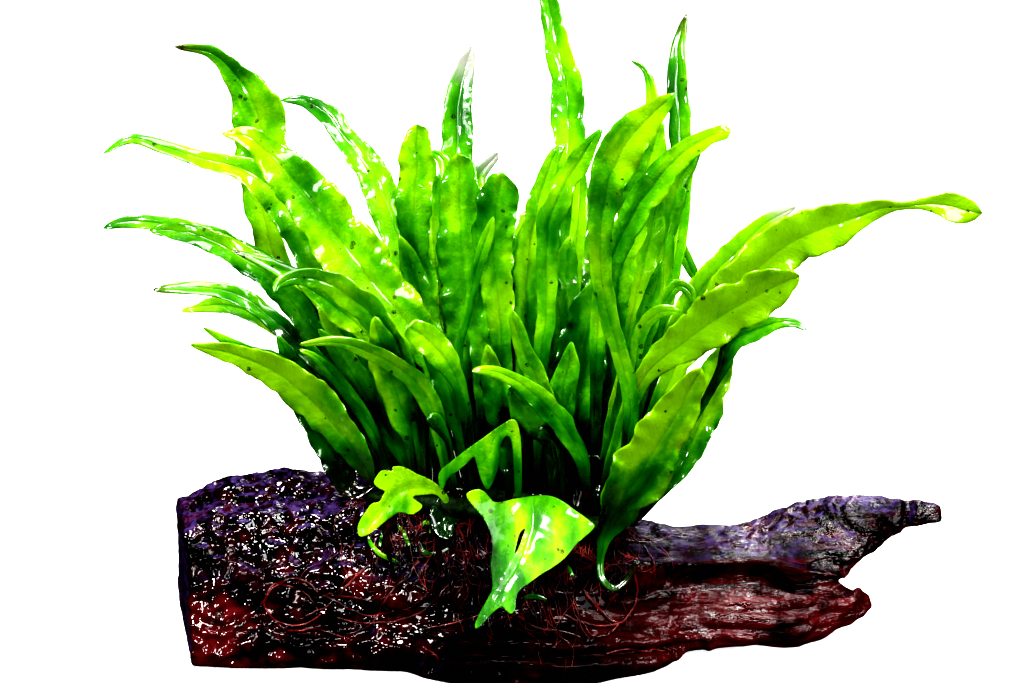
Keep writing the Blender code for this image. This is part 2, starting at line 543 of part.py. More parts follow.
def blade_solid(name, grid, depth, width, collection=solids):
    """A thin blade through the grid of points, thicker along its stalk."""
    rows = len(grid)
    work = bmesh.new()
    bmesh.ops.create_grid(work, x_segments=2, y_segments=rows - 1, size=1.0)
    layer = work.verts.layers.deform.verify()
    ordered = sorted(work.verts, key=lambda v: (round(v.co.y, 4), round(v.co.x, 4)))
    for index, vertex in enumerate(ordered):
        i, j = divmod(index, 3)
        sunk = FOLD * width[i] if j == 1 else 0.0
        vertex.co = toward(*grid[i][j], depth[i][j] + sunk) * MM
        stalk = max(0.0, 1.0 - i / (rows - 1) * 1.6)
        thickness = BLADE_THICKNESS + (STALK_THICKNESS - BLADE_THICKNESS) * stalk
        vertex[layer][0] = thickness / STALK_THICKNESS
    mesh = bpy.data.meshes.new(name)
    work.to_mesh(mesh)
    work.free()
    piece = add(name, mesh, collection)
    piece.vertex_groups.new(name="thickness")
    solid = piece.modifiers.new("thickness", "SOLIDIFY")
    solid.thickness = STALK_THICKNESS * MM
    solid.offset = 0.0
    solid.vertex_group = "thickness"
    settle(piece)
    piece.data.materials.append(blade)
    smooth(piece.data)
    return piece


def hanging_depth(x, h, row):
    """How far back a hanging frond lies here: out from the stems, then down, and domed."""
    (x0, h0), start, reach, far, middle = row[1:6]
    share = math.hypot(x - x0, h - h0) / far
    return start + reach * share ** 0.75 + 0.010 * (x - middle) ** 2


def within(x, h, edge):
    """Whether a point lies inside a closed outline."""
    crossings = 0
    for (x0, h0), (x1, h1) in zip(edge, edge[1:] + edge[:1]):
        if (h0 > h) != (h1 > h) and x < x0 + (h - h0) / (h1 - h0) * (x1 - x0):
            crossings += 1
    return crossings % 2 == 1


THICK = np.linspace(STALK_THICKNESS, BLADE_THICKNESS, BLADE_ROWS)
ALONG = np.linspace(0.0, 1.0, BLADE_ROWS)

# Fronds that hang over the front of the wood, cut to their outline and domed
for row in HANGING:
    name, edge, slit = row[0], row[6], row[7]
    curve = bpy.data.curves.new(name, "CURVE")
    curve.dimensions = "2D"
    curve.fill_mode = "BOTH"
    curve.extrude = 10 * MM
    curve.resolution_u = 1
    for outline in (edge, slit):
        if outline:
            spline = curve.splines.new("NURBS")
            spline.points.add(len(outline) - 1)
            spline.order_u = 3
            spline.use_cyclic_u = True
            for point, (x, h) in zip(spline.points, outline):
                point.co = (x * MM, h * MM, 0.0, 1.0)
    drawn = add(name + "_curve", curve, cutters)
    prism = add(name + "_outline", weld(shaped(drawn)), cutters)
    bpy.data.objects.remove(drawn, do_unlink=True)
    low, high = np.min(edge, axis=0), np.max(edge, axis=0)
    middle = (low + high) / 2
    mesh = bpy.data.meshes.new(name)
    work = bmesh.new()
    bmesh.ops.create_grid(work, x_segments=HANGING_CELLS, y_segments=HANGING_CELLS, size=0.5)
    scale = Matrix.Diagonal(((high[0] - low[0] + 4) * MM, (high[1] - low[1] + 4) * MM, 1.0, 1.0))
    at_middle = Matrix.Translation((middle[0] * MM, middle[1] * MM, 0.0))
    bmesh.ops.transform(work, matrix=at_middle @ scale, verts=work.verts)
    work.to_mesh(mesh)
    work.free()
    piece = add("frond_" + name, mesh)
    solid = piece.modifiers.new("thickness", "SOLIDIFY")
    solid.thickness = HANGING_THICKNESS * MM
    solid.offset = 0.0
    settle(piece)
    cut(piece, prism, "INTERSECT")
    settle(piece)
    for vertex in piece.data.vertices:
        x, h, thick = vertex.co / MM
        vertex.co = toward(x, h, hanging_depth(x, h, row) + thick) * MM
    for x in np.arange(math.floor(low[0]), high[0] + 1, LAY_CELL):
        for h in np.arange(math.floor(low[1]), high[1] + 1, LAY_CELL):
            if within(x, h, edge):
                key = (round(x / LAY_CELL), round(h / LAY_CELL))
                laid[key] = max(laid.get(key, -1e9), hanging_depth(x, h, row) + 0.5)
    weld(piece.data)
    piece.data.materials.append(blade)
    smooth(piece.data)

# Fronds that rise from the stems, the front ones first and each just behind those before it
for order, (name, place, base, points) in enumerate(sorted(FRONDS, key=lambda row: row[1])):
    start = stalk_start(base, place)
    midrib, length = through([(start[0], start[1], 2.0), *points], BLADE_ROWS)
    width = np.maximum(midrib[:, 2], 1.2)
    roll = BLADE_ROLL * (1 if order % 2 else -1)
    turned = np.stack([-width / 2, 0 * width, width / 2], axis=1) * math.tan(roll)
    wanted = (start[2] + place * LEAN * length * ALONG ** 1.35)[:, None] + turned
    grid = across(midrib[:, :2], width)
    depth = lay(grid, wanted, THICK)
    take_room(grid, depth, THICK)
    blade_solid("frond_" + name, grid, depth, width)
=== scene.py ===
import json
import math

import bmesh
import bpy
import numpy as np
from mathutils import Matrix, Vector, noise
from mathutils.bvhtree import BVHTree

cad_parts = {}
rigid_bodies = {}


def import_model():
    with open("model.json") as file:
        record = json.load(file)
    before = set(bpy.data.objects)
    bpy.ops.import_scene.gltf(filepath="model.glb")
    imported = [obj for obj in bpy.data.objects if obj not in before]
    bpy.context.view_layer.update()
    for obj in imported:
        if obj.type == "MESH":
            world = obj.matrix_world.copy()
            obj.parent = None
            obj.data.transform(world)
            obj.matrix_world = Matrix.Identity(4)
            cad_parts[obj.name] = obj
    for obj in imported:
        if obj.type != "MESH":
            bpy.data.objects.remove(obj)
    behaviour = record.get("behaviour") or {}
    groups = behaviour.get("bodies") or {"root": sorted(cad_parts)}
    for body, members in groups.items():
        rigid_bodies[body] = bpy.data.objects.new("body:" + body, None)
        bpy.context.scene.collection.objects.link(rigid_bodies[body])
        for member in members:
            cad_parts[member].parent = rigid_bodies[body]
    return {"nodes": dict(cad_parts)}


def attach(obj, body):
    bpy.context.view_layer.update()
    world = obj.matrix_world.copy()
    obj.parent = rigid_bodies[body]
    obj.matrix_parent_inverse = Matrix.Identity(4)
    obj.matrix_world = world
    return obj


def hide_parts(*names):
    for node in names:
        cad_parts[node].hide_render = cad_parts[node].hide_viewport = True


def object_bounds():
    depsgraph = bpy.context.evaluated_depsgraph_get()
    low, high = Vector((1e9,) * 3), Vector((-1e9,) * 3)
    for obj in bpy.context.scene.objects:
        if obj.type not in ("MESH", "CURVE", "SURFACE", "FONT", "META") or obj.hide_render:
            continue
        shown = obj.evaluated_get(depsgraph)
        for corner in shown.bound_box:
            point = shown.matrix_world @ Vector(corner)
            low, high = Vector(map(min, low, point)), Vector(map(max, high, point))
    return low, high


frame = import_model()
cad_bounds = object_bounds()
MM = 0.001
scene = bpy.context.scene


# The driftwood: one piece of hard bog wood, dark red-brown and soaked, worn into strands that
# flow along it, pitted over its upper front, with two branches on the right. It is sawn off on
# the left and flat below.
WOOD_NODES = ("driftwood_log", "driftwood_upper_branch", "driftwood_lower_branch")
WOOD_VOXEL = 0.85
PIT_SIZE = 5.2
PIT_DEPTH = 1.7
GRAIN = 0.55
FLOW = 0.95
VIEW_ELEVATION = math.radians(15.0)
VIEW_DISTANCE = 700.0
AHEAD = np.array((0.0, math.cos(VIEW_ELEVATION), -math.sin(VIEW_ELEVATION)))
UP = np.array((0.0, math.sin(VIEW_ELEVATION), math.cos(VIEW_ELEVATION)))
TARGET = np.array((0.0, 0.0, 100.0))
EYE = TARGET - VIEW_DISTANCE * AHEAD
# Creases worn into the front: depth, half width, and the line as seen from the front (x, h)
CREASES = (
    (2.4, 1.5, ((126.5, -49.0), (127.0, -54.0), (126.0, -60.0))),
    (7.0, 2.3, ((36, -79), (45, -76.8), (62, -75.5), (78, -74.5), (86, -76.5), (92, -78.6), (99, -79.6), (106, -79))),
    (1.6, 1.5, ((-97, -83), (-92, -81.0), (-84, -77.4), (-72, -78.4), (-63, -82), (-52, -83))),
    (1.5, 1.3, ((-74, -93.6), (-63, -90.6), (-51, -89.6), (-46, -92.6), (-54, -94.8), (-66, -95.2), (-74, -93.6))),
    (1.6, 1.4, ((-93, -98.5), (-88, -94), (-84, -91.2), (-76, -89.0), (-70, -91.5))),
    (1.2, 1.2, ((-104, -86), (-99, -90), (-92, -91.5), (-86, -88.5), (-80, -84.8))),
    (3.0, 1.6, ((-26, -106), (-22, -100.6), (-10, -99.6), (4, -99.6), (16, -100.8), (31, -100), (46, -99), (60, -97.2))),
    (1.6, 1.3, ((118, -58), (123, -62), (121, -67), (114, -69))),
    (1.3, 1.2, ((108, -49), (104, -53), (106, -58), (112, -62))),
    (1.2, 1.1, ((52, -86), (64, -84.5), (76, -86), (88, -86.5), (97, -84.5))),
    (1.0, 1.0, ((54, -93), (68, -92), (82, -93), (94, -90.5))),
)


def mesh_object(name, mesh, body="root"):
    thing = bpy.data.objects.new(name, mesh)
    scene.collection.objects.link(thing)
    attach(thing, body)
    return thing


def smooth(mesh):
    mesh.polygons.foreach_set("use_smooth", [True] * len(mesh.polygons))


def points_of(mesh):
    flat = np.empty(len(mesh.vertices) * 3)
    mesh.vertices.foreach_get("co", flat)
    return flat.reshape(-1, 3)


def modified(thing):
    """The mesh of an object with its modifiers applied."""
    bpy.context.view_layer.update()
    graph = bpy.context.evaluated_depsgraph_get()
    return bpy.data.meshes.new_from_object(thing.evaluated_get(graph))


def joined(name, nodes, grow):
    """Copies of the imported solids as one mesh, each a little larger so that they fuse."""
    work = bmesh.new()
    for node in nodes:
        source = frame["nodes"][node]
        copy = source.data.copy()
        copy.transform(source.matrix_world)
        part = bmesh.new()
        part.from_mesh(copy)
        bmesh.ops.remove_doubles(part, verts=part.verts, dist=0.00001)
        part.normal_update()
        for vertex in part.verts:
            vertex.co += vertex.normal * grow * MM
        part.to_mesh(copy)
        part.free()
        work.from_mesh(copy)
        bpy.data.meshes.remove(copy)
    mesh = bpy.data.meshes.new(name)
    work.to_mesh(mesh)
    work.free()
    return mesh


class Paint:
    """A Principled material and short ways to add the nodes of its pattern."""

    def __init__(self, name):
        self.material = bpy.data.materials.new(name)
        self.material.use_nodes = True
        self.tree = self.material.node_tree
        self.shader = self.tree.nodes["Principled BSDF"]

    def node(self, kind, **settings):
        made = self.tree.nodes.new("ShaderNode" + kind)
        for key, value in settings.items():
            setattr(made, key, value)
        return made

    def feed(self, socket, value):
        if isinstance(value, bpy.types.NodeSocket):
            self.tree.links.new(value, socket)
        elif value is not None:
            if hasattr(socket.default_value, "__len__") and len(value) == 3 and len(socket.default_value) == 4:
                value = (*value, 1.0)
            socket.default_value = value

    def set(self, name, value):
        self.feed(self.shader.inputs[name], value)

    def coords(self, stretch=(1.0, 1.0, 1.0), uv=None):
        source = self.node("UVMap", uv_map=uv).outputs[0] if uv else self.node("TexCoord").outputs["Object"]
        scaled = self.node("Mapping")
        self.feed(scaled.inputs["Vector"], source)
        scaled.inputs["Scale"].default_value = stretch
        return scaled.outputs[0]

    def noise(self, vector, scale, detail=4.0, rough=0.55, distortion=0.0):
        made = self.node("TexNoise")
        self.feed(made.inputs["Vector"], vector)
        for key, value in (("Scale", scale), ("Detail", detail), ("Roughness", rough), ("Distortion", distortion)):
            made.inputs[key].default_value = value
        return made.outputs["Fac"]

    def cells(self, vector, scale, feature="F1", random=1.0):
        made = self.node("TexVoronoi", feature=feature)
        self.feed(made.inputs["Vector"], vector)
        made.inputs["Scale"].default_value = scale
        made.inputs["Randomness"].default_value = random
        return made.outputs["Distance"]

    def ramp(self, value, *stops):
        made = self.node("ValToRGB")
        self.feed(made.inputs[0], value)
        ends = made.color_ramp.elements
        while len(ends) < len(stops):
            ends.new(0.5)
        for end, (at, colour) in zip(ends, stops):
            end.position = at
            if isinstance(colour, (int, float)):
                colour = (colour, colour, colour)
            end.color = (*colour, 1.0)
        return made.outputs[0]

    def mix(self, factor, a, b, blend="MIX"):
        made = self.node("Mix", data_type="RGBA", blend_type=blend)
        self.feed(made.inputs[0], factor)
        self.feed(made.inputs[6], a)
        self.feed(made.inputs[7], b)
        return made.outputs[2]

    def math(self, operation, a, b=None, c=None):
        made = self.node("Math", operation=operation)
        for socket, value in zip(made.inputs, (a, b, c)):
            self.feed(socket, value)
        return made.outputs[0]

    def bump(self, height, distance, strength=1.0):
        made = self.node("Bump")
        self.feed(made.inputs["Height"], height)
        made.inputs["Distance"].default_value = distance
        made.inputs["Strength"].default_value = strength
        self.set("Normal", made.outputs[0])


fused = bpy.data.objects.new("wood_fused", joined("wood_fused", WOOD_NODES, 0.35))
scene.collection.objects.link(fused)
fuse = fused.modifiers.new("fuse", "REMESH")
fuse.mode = "VOXEL"
fuse.voxel_size = WOOD_VOXEL * MM
relax = fused.modifiers.new("relax", "SMOOTH")
relax.factor = 0.6
relax.iterations = 9
wood_mesh = modified(fused)
bpy.data.objects.remove(fused, do_unlink=True)
wood_mesh.name = "driftwood"
smooth(wood_mesh)
spots = points_of(wood_mesh)
normals = np.empty_like(spots).ravel()
wood_mesh.vertices.foreach_get("normal", normals)
normals = normals.reshape(-1, 3)
raise_by = np.zeros(len(spots))
for i, (x, y, z) in enumerate(spots / MM):
    bend = noise.noise(Vector((x / 45, y / 22, z / 22)))
    flow = noise.noise(Vector((x / 70, y / 6.5 + bend * 1.6, z / 6.5 - bend * 1.2)))
    grain = noise.noise(Vector((x / 26, y / 1.9 + bend * 3, z / 1.9 - bend * 2)))
    fine = noise.noise(Vector((x / 3.1, y / 2.3, z / 2.3)))
    rough = noise.noise(Vector((x / 11, y / 9, z / 9)))
    up = noise.noise(Vector((x / 23 + 7, y / 17, z / 17)))
    pitted = min(1.0, max(0.0, 1.6 * up + 0.75 * (1.0 if 22 < z < 46 else 0.2) - 0.25))
    if x > 48:
        pitted *= 0.55
    knobs = min(1.0, max(0.0, (-18.0 - x) / 25.0))
    pitted = min(1.0, pitted + 0.55 * knobs)
    warp = noise.noise_vector(Vector((x / 7, y / 7, z / 7))) * 0.6
    near = noise.voronoi(Vector((x / PIT_SIZE / 1.35, y / PIT_SIZE, z / PIT_SIZE)) + warp)[0]
    wall = min(1.0, (near[1] - near[0]) * 2.4)
    pits = -PIT_DEPTH * wall * wall * pitted
    lump = noise.noise(Vector((x / 6.5, y / 5.5, z / 5.0 + 3)))
    calm = 1.0 - 0.75 * min(1.0, pitted * 1.3)
    raise_by[i] = ((FLOW * flow * 1.3 - abs(flow) * 0.5) * calm + GRAIN * grain * (1.0 - 0.8 * pitted)
                   + (0.30 + 0.45 * knobs) * fine + 1.2 * rough + (1.0 - calm) * 1.5 * lump + pits + 0.35)
low = spots[:, 2] / MM
sole = (normals[:, 2] < -0.7) & (low < 2.0)
sawn = (normals[:, 0] < -0.85) & (spots[:, 0] < -0.098)
raise_by[sole] = 0.0
raise_by[sawn] *= 0.25
away = spots / MM - TARGET
shrink = VIEW_DISTANCE / (VIEW_DISTANCE + away @ AHEAD)
seen = np.stack([away[:, 0] * shrink, (away @ UP) * shrink], axis=1)
facing = np.clip(-(normals @ AHEAD) * 2.0, 0.0, 1.0)
for deepest, wide, path in CREASES:
    nearest = np.full(len(spots), 99.0)
    for a, b in zip(np.array(path, dtype=float), np.array(path[1:], dtype=float)):
        t = np.clip(((seen - a) @ (b - a)) / ((b - a) @ (b - a)), 0.0, 1.0)
        nearest = np.minimum(nearest, np.linalg.norm(seen - a - t[:, None] * (b - a), axis=1))
    raise_by -= facing * deepest * (np.exp(-((nearest / wide) ** 2)) - 0.35 * np.exp(-(((nearest - 1.9 * wide) / wide) ** 2)))
fade = np.clip((low - 0.2) / 2.5, 0.0, 1.0)
raise_by = raise_by * fade
moved = spots + normals * (raise_by * MM)[:, None]
moved[:, 2] = np.maximum(moved[:, 2], 0.00005)
wood_mesh.vertices.foreach_set("co", moved.ravel())
wood_mesh.update()
wood_ground = BVHTree.FromPolygons([Vector(p) for p in moved], [tuple(f.vertices) for f in wood_mesh.polygons])

wet_wood = Paint("wet_driftwood")
along = wet_wood.coords((22.0, 330.0, 330.0))
plain = wet_wood.coords()
threads = wet_wood.noise(wet_wood.coords((150.0, 1300.0, 1300.0)), 1.0, 4.0, 0.65, 0.4)
streaks = wet_wood.noise(along, 1.0, 5.0, 0.6, 0.6)
patches = wet_wood.noise(plain, 42.0, 4.0, 0.65)
specks = wet_wood.noise(plain, 480.0, 2.5, 0.6)
where = wet_wood.node("SeparateXYZ")
wet_wood.feed(where.inputs[0], wet_wood.node("TexCoord").outputs["Object"])
knobbly = wet_wood.ramp(wet_wood.math("MULTIPLY_ADD", where.outputs["X"], 5.0, 0.5), (0.26, 0.85), (0.46, 0.0))
streaks = wet_wood.mix(knobbly, streaks, wet_wood.noise(plain, 170.0, 4.0, 0.6))
base = wet_wood.ramp(streaks, (0.44, (0.0008, 0.0001, 0.0002)), (0.60, (0.020, 0.0008, 0.0016)),
                     (0.76, (0.075, 0.0035, 0.007)))
right_side = wet_wood.ramp(wet_wood.math("MULTIPLY_ADD", where.outputs["X"], 5.0, 0.5), (0.56, 0.0), (0.76, 0.16))
left_side = wet_wood.ramp(wet_wood.math("MULTIPLY_ADD", where.outputs["X"], 5.0, 0.5), (0.05, 0.06), (0.35, 0.0))
low_down = wet_wood.ramp(wet_wood.math("MULTIPLY", where.outputs["Z"], 20.0), (0.34, 1.0), (0.60, 0.0))
ruddy = wet_wood.math("MULTIPLY", wet_wood.math("ADD", right_side, left_side), low_down)
ruddy = wet_wood.ramp(wet_wood.math("ADD", patches, ruddy), (0.52, 0.0), (0.66, 1.0))
redder = wet_wood.mix(wet_wood.math("MULTIPLY", ruddy, 0.85), base,
                      wet_wood.ramp(streaks, (0.38, (0.040, 0.0014, 0.0022)), (0.68, (0.105, 0.009, 0.012))))
# Painted reflection: faces turned up high on the wood are painted purple for the sky they mirror, broken into patches.
# The sawn end faces away from the lamps and is painted the same lighter purple as painted light. The coat is thinner on
# these faces.
facing = wet_wood.node("NewGeometry").outputs["Normal"]
split = wet_wood.node("SeparateXYZ")
wet_wood.feed(split.inputs[0], facing)
high_up = wet_wood.ramp(wet_wood.math("MULTIPLY", where.outputs["Z"], 20.0), (0.50, 0.0), (0.76, 1.0))
painted_sheen_mask = wet_wood.math("MULTIPLY", wet_wood.ramp(split.outputs["Z"], (0.60, 0.0), (0.92, 1.0)), high_up)
sawn_end_painted_light = wet_wood.ramp(wet_wood.math("MULTIPLY_ADD", split.outputs["X"], -1.0, 0.0), (0.55, 0.0), (0.85, 0.8))
painted_sheen_mask = wet_wood.math("MAXIMUM", painted_sheen_mask, sawn_end_painted_light)
sheen_patches = wet_wood.ramp(wet_wood.noise(plain, 260.0, 4.0, 0.75), (0.44, 0.0), (0.60, 1.0))
painted_sheen = wet_wood.math("MULTIPLY", painted_sheen_mask, sheen_patches)
with_painted_sheen = wet_wood.mix(painted_sheen, redder, (0.068, 0.040, 0.138))
# Painted shade: the middle of the wood, under the fronds, is painted near black, and its coat is thinned there.
middle = wet_wood.math("ABSOLUTE", wet_wood.math("MULTIPLY_ADD", where.outputs["X"], 12.0, -0.12))
middle = wet_wood.ramp(middle, (0.30, 0.10), (0.70, 1.0))
with_painted_shade = wet_wood.mix(wet_wood.math("MULTIPLY_ADD", middle, -0.75, 0.75), with_painted_sheen, (0.0006, 0.0001, 0.0001))
wet_wood.set("Base Color", with_painted_shade)
wet_wood.set("Roughness", 0.6)
wet_wood.set("Specular IOR Level", 0.05)
wet = wet_wood.math("MULTIPLY", middle, wet_wood.ramp(patches, (0.40, 0.12), (0.58, 1.0)))
wet_wood.set("Coat Weight", wet_wood.math("MULTIPLY", wet, wet_wood.math("MULTIPLY_ADD", painted_sheen, -0.7, 1.0)))
wet_wood.set("Coat Roughness", 0.05)
wet_wood.set("Coat IOR", 1.7)
height = wet_wood.math("ADD", wet_wood.math("MULTIPLY", threads, 0.25), specks)
wet_wood.bump(height, 0.0004)
beads = wet_wood.node("Bump")
grainy = wet_wood.ramp(wet_wood.math("MULTIPLY_ADD", where.outputs["X"], 5.0, 0.5), (0.62, 0.0), (0.82, 1.0))
beaded = wet_wood.mix(wet_wood.math("MULTIPLY", low_down, 0.75), wet_wood.noise(plain, 150.0, 2.0, 0.45), (0.5, 0.5, 0.5))
wet_wood.feed(beads.inputs["Height"], wet_wood.mix(grainy, beaded,
                                                   wet_wood.noise(wet_wood.coords((130.0, 620.0, 620.0)), 1.0, 3.0, 0.6)))
beads.inputs["Distance"].default_value = 0.0013
wet_wood.set("Coat Normal", beads.outputs[0])
wood_mesh.materials.clear()
wood_mesh.materials.append(wet_wood.material)
driftwood = mesh_object("driftwood", wood_mesh)
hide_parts(*WOOD_NODES)


# The creeping stems: three green-brown rhizomes as thick as a pencil lead's case, scaly with old
# leaf scars, lying along the top of the wood where they have rooted.
RHIZOMES = (
    ("rhizome_front", -0.45, ((-46, -14, 52), (-25, -15.5, 50.5), (-5, -16, 48),
                              (15, -15.5, 45), (36, -14, 41))),
    ("rhizome_middle", -0.04, ((-43, -2, 51.5), (-20, -2.5, 50), (0, -2.5, 47), (18, -2, 44),
                               (38, -3, 40))),
    ("rhizome_back", 9.0, ((-40, 10, 54.5), (-12, 11, 51), (12, 10, 47.5), (38, 9, 42.5))),
)
RHIZOME_RADIUS = 3.2


def tube(points, radii, sides):
    """Corners and faces of a round tube through the points, closed at both ends."""
    points = np.asarray(points, dtype=float)
    radii = np.asarray(radii, dtype=float)
    course = np.gradient(points, axis=0)
    course /= np.linalg.norm(course, axis=1)[:, None] + 1e-12
    side = np.cross(course[0], (0.31, 0.2, 0.93))
    frames = []
    for step in course:
        side = side - step * side.dot(step)
        side /= np.linalg.norm(side) + 1e-12
        frames.append((side, np.cross(step, side)))
    turn = np.linspace(0.0, 2 * math.pi, sides, endpoint=False)
    rings = [p + r * (np.cos(turn)[:, None] * a + np.sin(turn)[:, None] * b)
             for p, r, (a, b) in zip(points, radii, frames)]
    corners = np.concatenate(rings + [points[:1] - course[:1] * radii[0] * 0.4,
                                      points[-1:] + course[-1:] * radii[-1] * 0.4])
    rows = len(points)
    faces = []
    for i in range(rows - 1):
        for j in range(sides):
            k = (j + 1) % sides
            faces.append((i * sides + j, i * sides + k, (i + 1) * sides + k, (i + 1) * sides + j))
    for j in range(sides):
        k = (j + 1) % sides
        faces.append((rows * sides, k, j))
        faces.append((rows * sides + 1, (rows - 1) * sides + j, (rows - 1) * sides + k))
    return corners, faces


def mesh_of(name, parts):
    """One mesh from (corners, faces) pairs in millimetres."""
    corners = []
    faces = []
    count = 0
    for part_corners, part_faces in parts:
        corners.append(np.asarray(part_corners) * MM)
        faces.extend([tuple(int(i) + count for i in face) for face in part_faces])
        count += len(part_corners)
    mesh = bpy.data.meshes.new(name)
    mesh.from_pydata(np.concatenate(corners).tolist(), [], faces)
    smooth(mesh)
    return mesh


def curved(points, rows):
    """A smooth line of so many rows through the points, evenly spaced."""
    knots = np.array(points, dtype=float)
    knots = np.vstack([2 * knots[0] - knots[1], knots, 2 * knots[-1] - knots[-2]])
    line = []
    for i in range(1, len(knots) - 2):
        a, b, c, d = knots[i - 1 : i + 3]
        for t in np.linspace(0.0, 1.0, 16, endpoint=False):
            line.append(0.5 * (2 * b + (c - a) * t + (2 * a - 5 * b + 4 * c - d) * t * t
                               + (3 * b - a - 3 * c + d) * t ** 3))
    line.append(knots[-2])
    line = np.array(line)
    step = np.diff(line, axis=0)
    length = np.append(0.0, np.cumsum(np.sqrt((step ** 2).sum(axis=1))))
    at = np.linspace(0.0, length[-1], rows)
    return np.stack([np.interp(at, length, column) for column in line.T], axis=1)


stem_skin = Paint("rhizome")
plain = stem_skin.coords()
scales = stem_skin.noise(plain, 380.0, 4.0, 0.6)
stem_skin.set("Base Color", stem_skin.ramp(scales, (0.38, (0.002, 0.008, 0.001)),
                                           (0.58, (0.009, 0.034, 0.003)), (0.74, (0.03, 0.008, 0.003))))
stem_skin.set("Roughness", stem_skin.ramp(scales, (0.3, 0.35), (0.7, 0.6)))
stem_skin.set("Specular IOR Level", 0.2)
stem_skin.bump(scales, 0.0008)
for name, reach, path in RHIZOMES:
    line = curved(path, 160)
    ends = np.clip(np.minimum(np.arange(160), np.arange(160)[::-1]) / 14.0, 0.0, 1.0)
    radii = RHIZOME_RADIUS * (0.45 + 0.55 * np.sqrt(ends))
    corners, faces = tube(line, radii, 20)
    knob = np.array([noise.noise(Vector(c / 2.6)) + 0.6 * noise.noise(Vector(c / 1.1)) for c in corners])
    middle = np.repeat(line, 20, axis=0)
    away = corners[: 160 * 20] - middle
    corners[: 160 * 20] += away * (knob[: 160 * 20, None] * 0.22)
    mesh = mesh_of(name + "_skin", [(corners, faces)])
    mesh.materials.append(stem_skin.material)
    skin = mesh_object(name + "_skin", mesh)
    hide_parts(name)


# The roots: hundreds of wiry red-brown threads from the stems, tangled into a mat over the top of
# the wood and creeping down its front and back, where they cling to it.
ROOT_COUNT = 300
ROOT_RADIUS = 0.21
DRAWN_ROOTS = (
    (0.45, ((-62, -80), (-67, -76.5), (-73, -76.5), (-78, -80), (-78.5, -86), (-74, -90), (-67, -90),
            (-61, -87))),
    (0.4, ((-80, -84), (-76, -79), (-70, -78), (-65, -82), (-62, -86))),
    (0.45, ((-61, -81), (-55, -84), (-48, -87), (-43, -87.5), (-38, -85.5))),
    (0.4, ((-61, -81), (-53, -81), (-45, -83), (-38, -81))),
    (0.4, ((-75, -91), (-70, -93), (-62, -92.5), (-54, -94))),
    (0.55, ((23, -80), (27, -85), (34, -91), (38, -86), (40, -82), (39.5, -77), (38, -72))),
    (0.5, ((34, -91), (28, -91.5), (22, -90), (17, -88))),
    (0.45, ((34, -91), (31, -94), (25, -96))),
    (0.4, ((42, -66), (45, -71), (45, -76), (43, -82))),
    (0.5, ((-30, -70), (-34, -76), (-40, -82), (-45, -90), (-52, -93))),
    (0.45, ((-46, -72), (-52, -77), (-58, -84), (-66, -88))),
    (0.4, ((-20, -78), (-26, -84), (-33, -88), (-44, -90), (-56, -88))),
    (0.4, ((10, -70), (4, -78), (-6, -86), (-18, -90), (-30, -93))),
    (0.35, ((30, -99.5), (36, -98), (42, -98.6), (49, -99.5))),
    (0.35, ((-28, -98), (-24, -101), (-25, -104))),
    (0.35, ((2, -88), (8, -92), (16, -93), (22, -95))),
)


def toward(grid, depth):
    """Points at these depths on the sight lines through (x, h) of the plane facing the viewer."""
    grid = np.asarray(grid, dtype=float)
    on_plane = TARGET + grid[..., :1] * np.array((1.0, 0.0, 0.0)) + grid[..., 1:2] * UP
    along = (np.asarray(depth)[..., None] - EYE[1]) / (on_plane[..., 1:2] - EYE[1])
    return EYE + along * (on_plane - EYE)


def on_wood(point, lift):
    """The nearest place on the wood to a point, lifted off it, in millimetres."""
    spot, normal, face, gap = wood_ground.find_nearest(Vector(point) * MM)
    return np.array(spot) / MM + np.array(normal) * lift


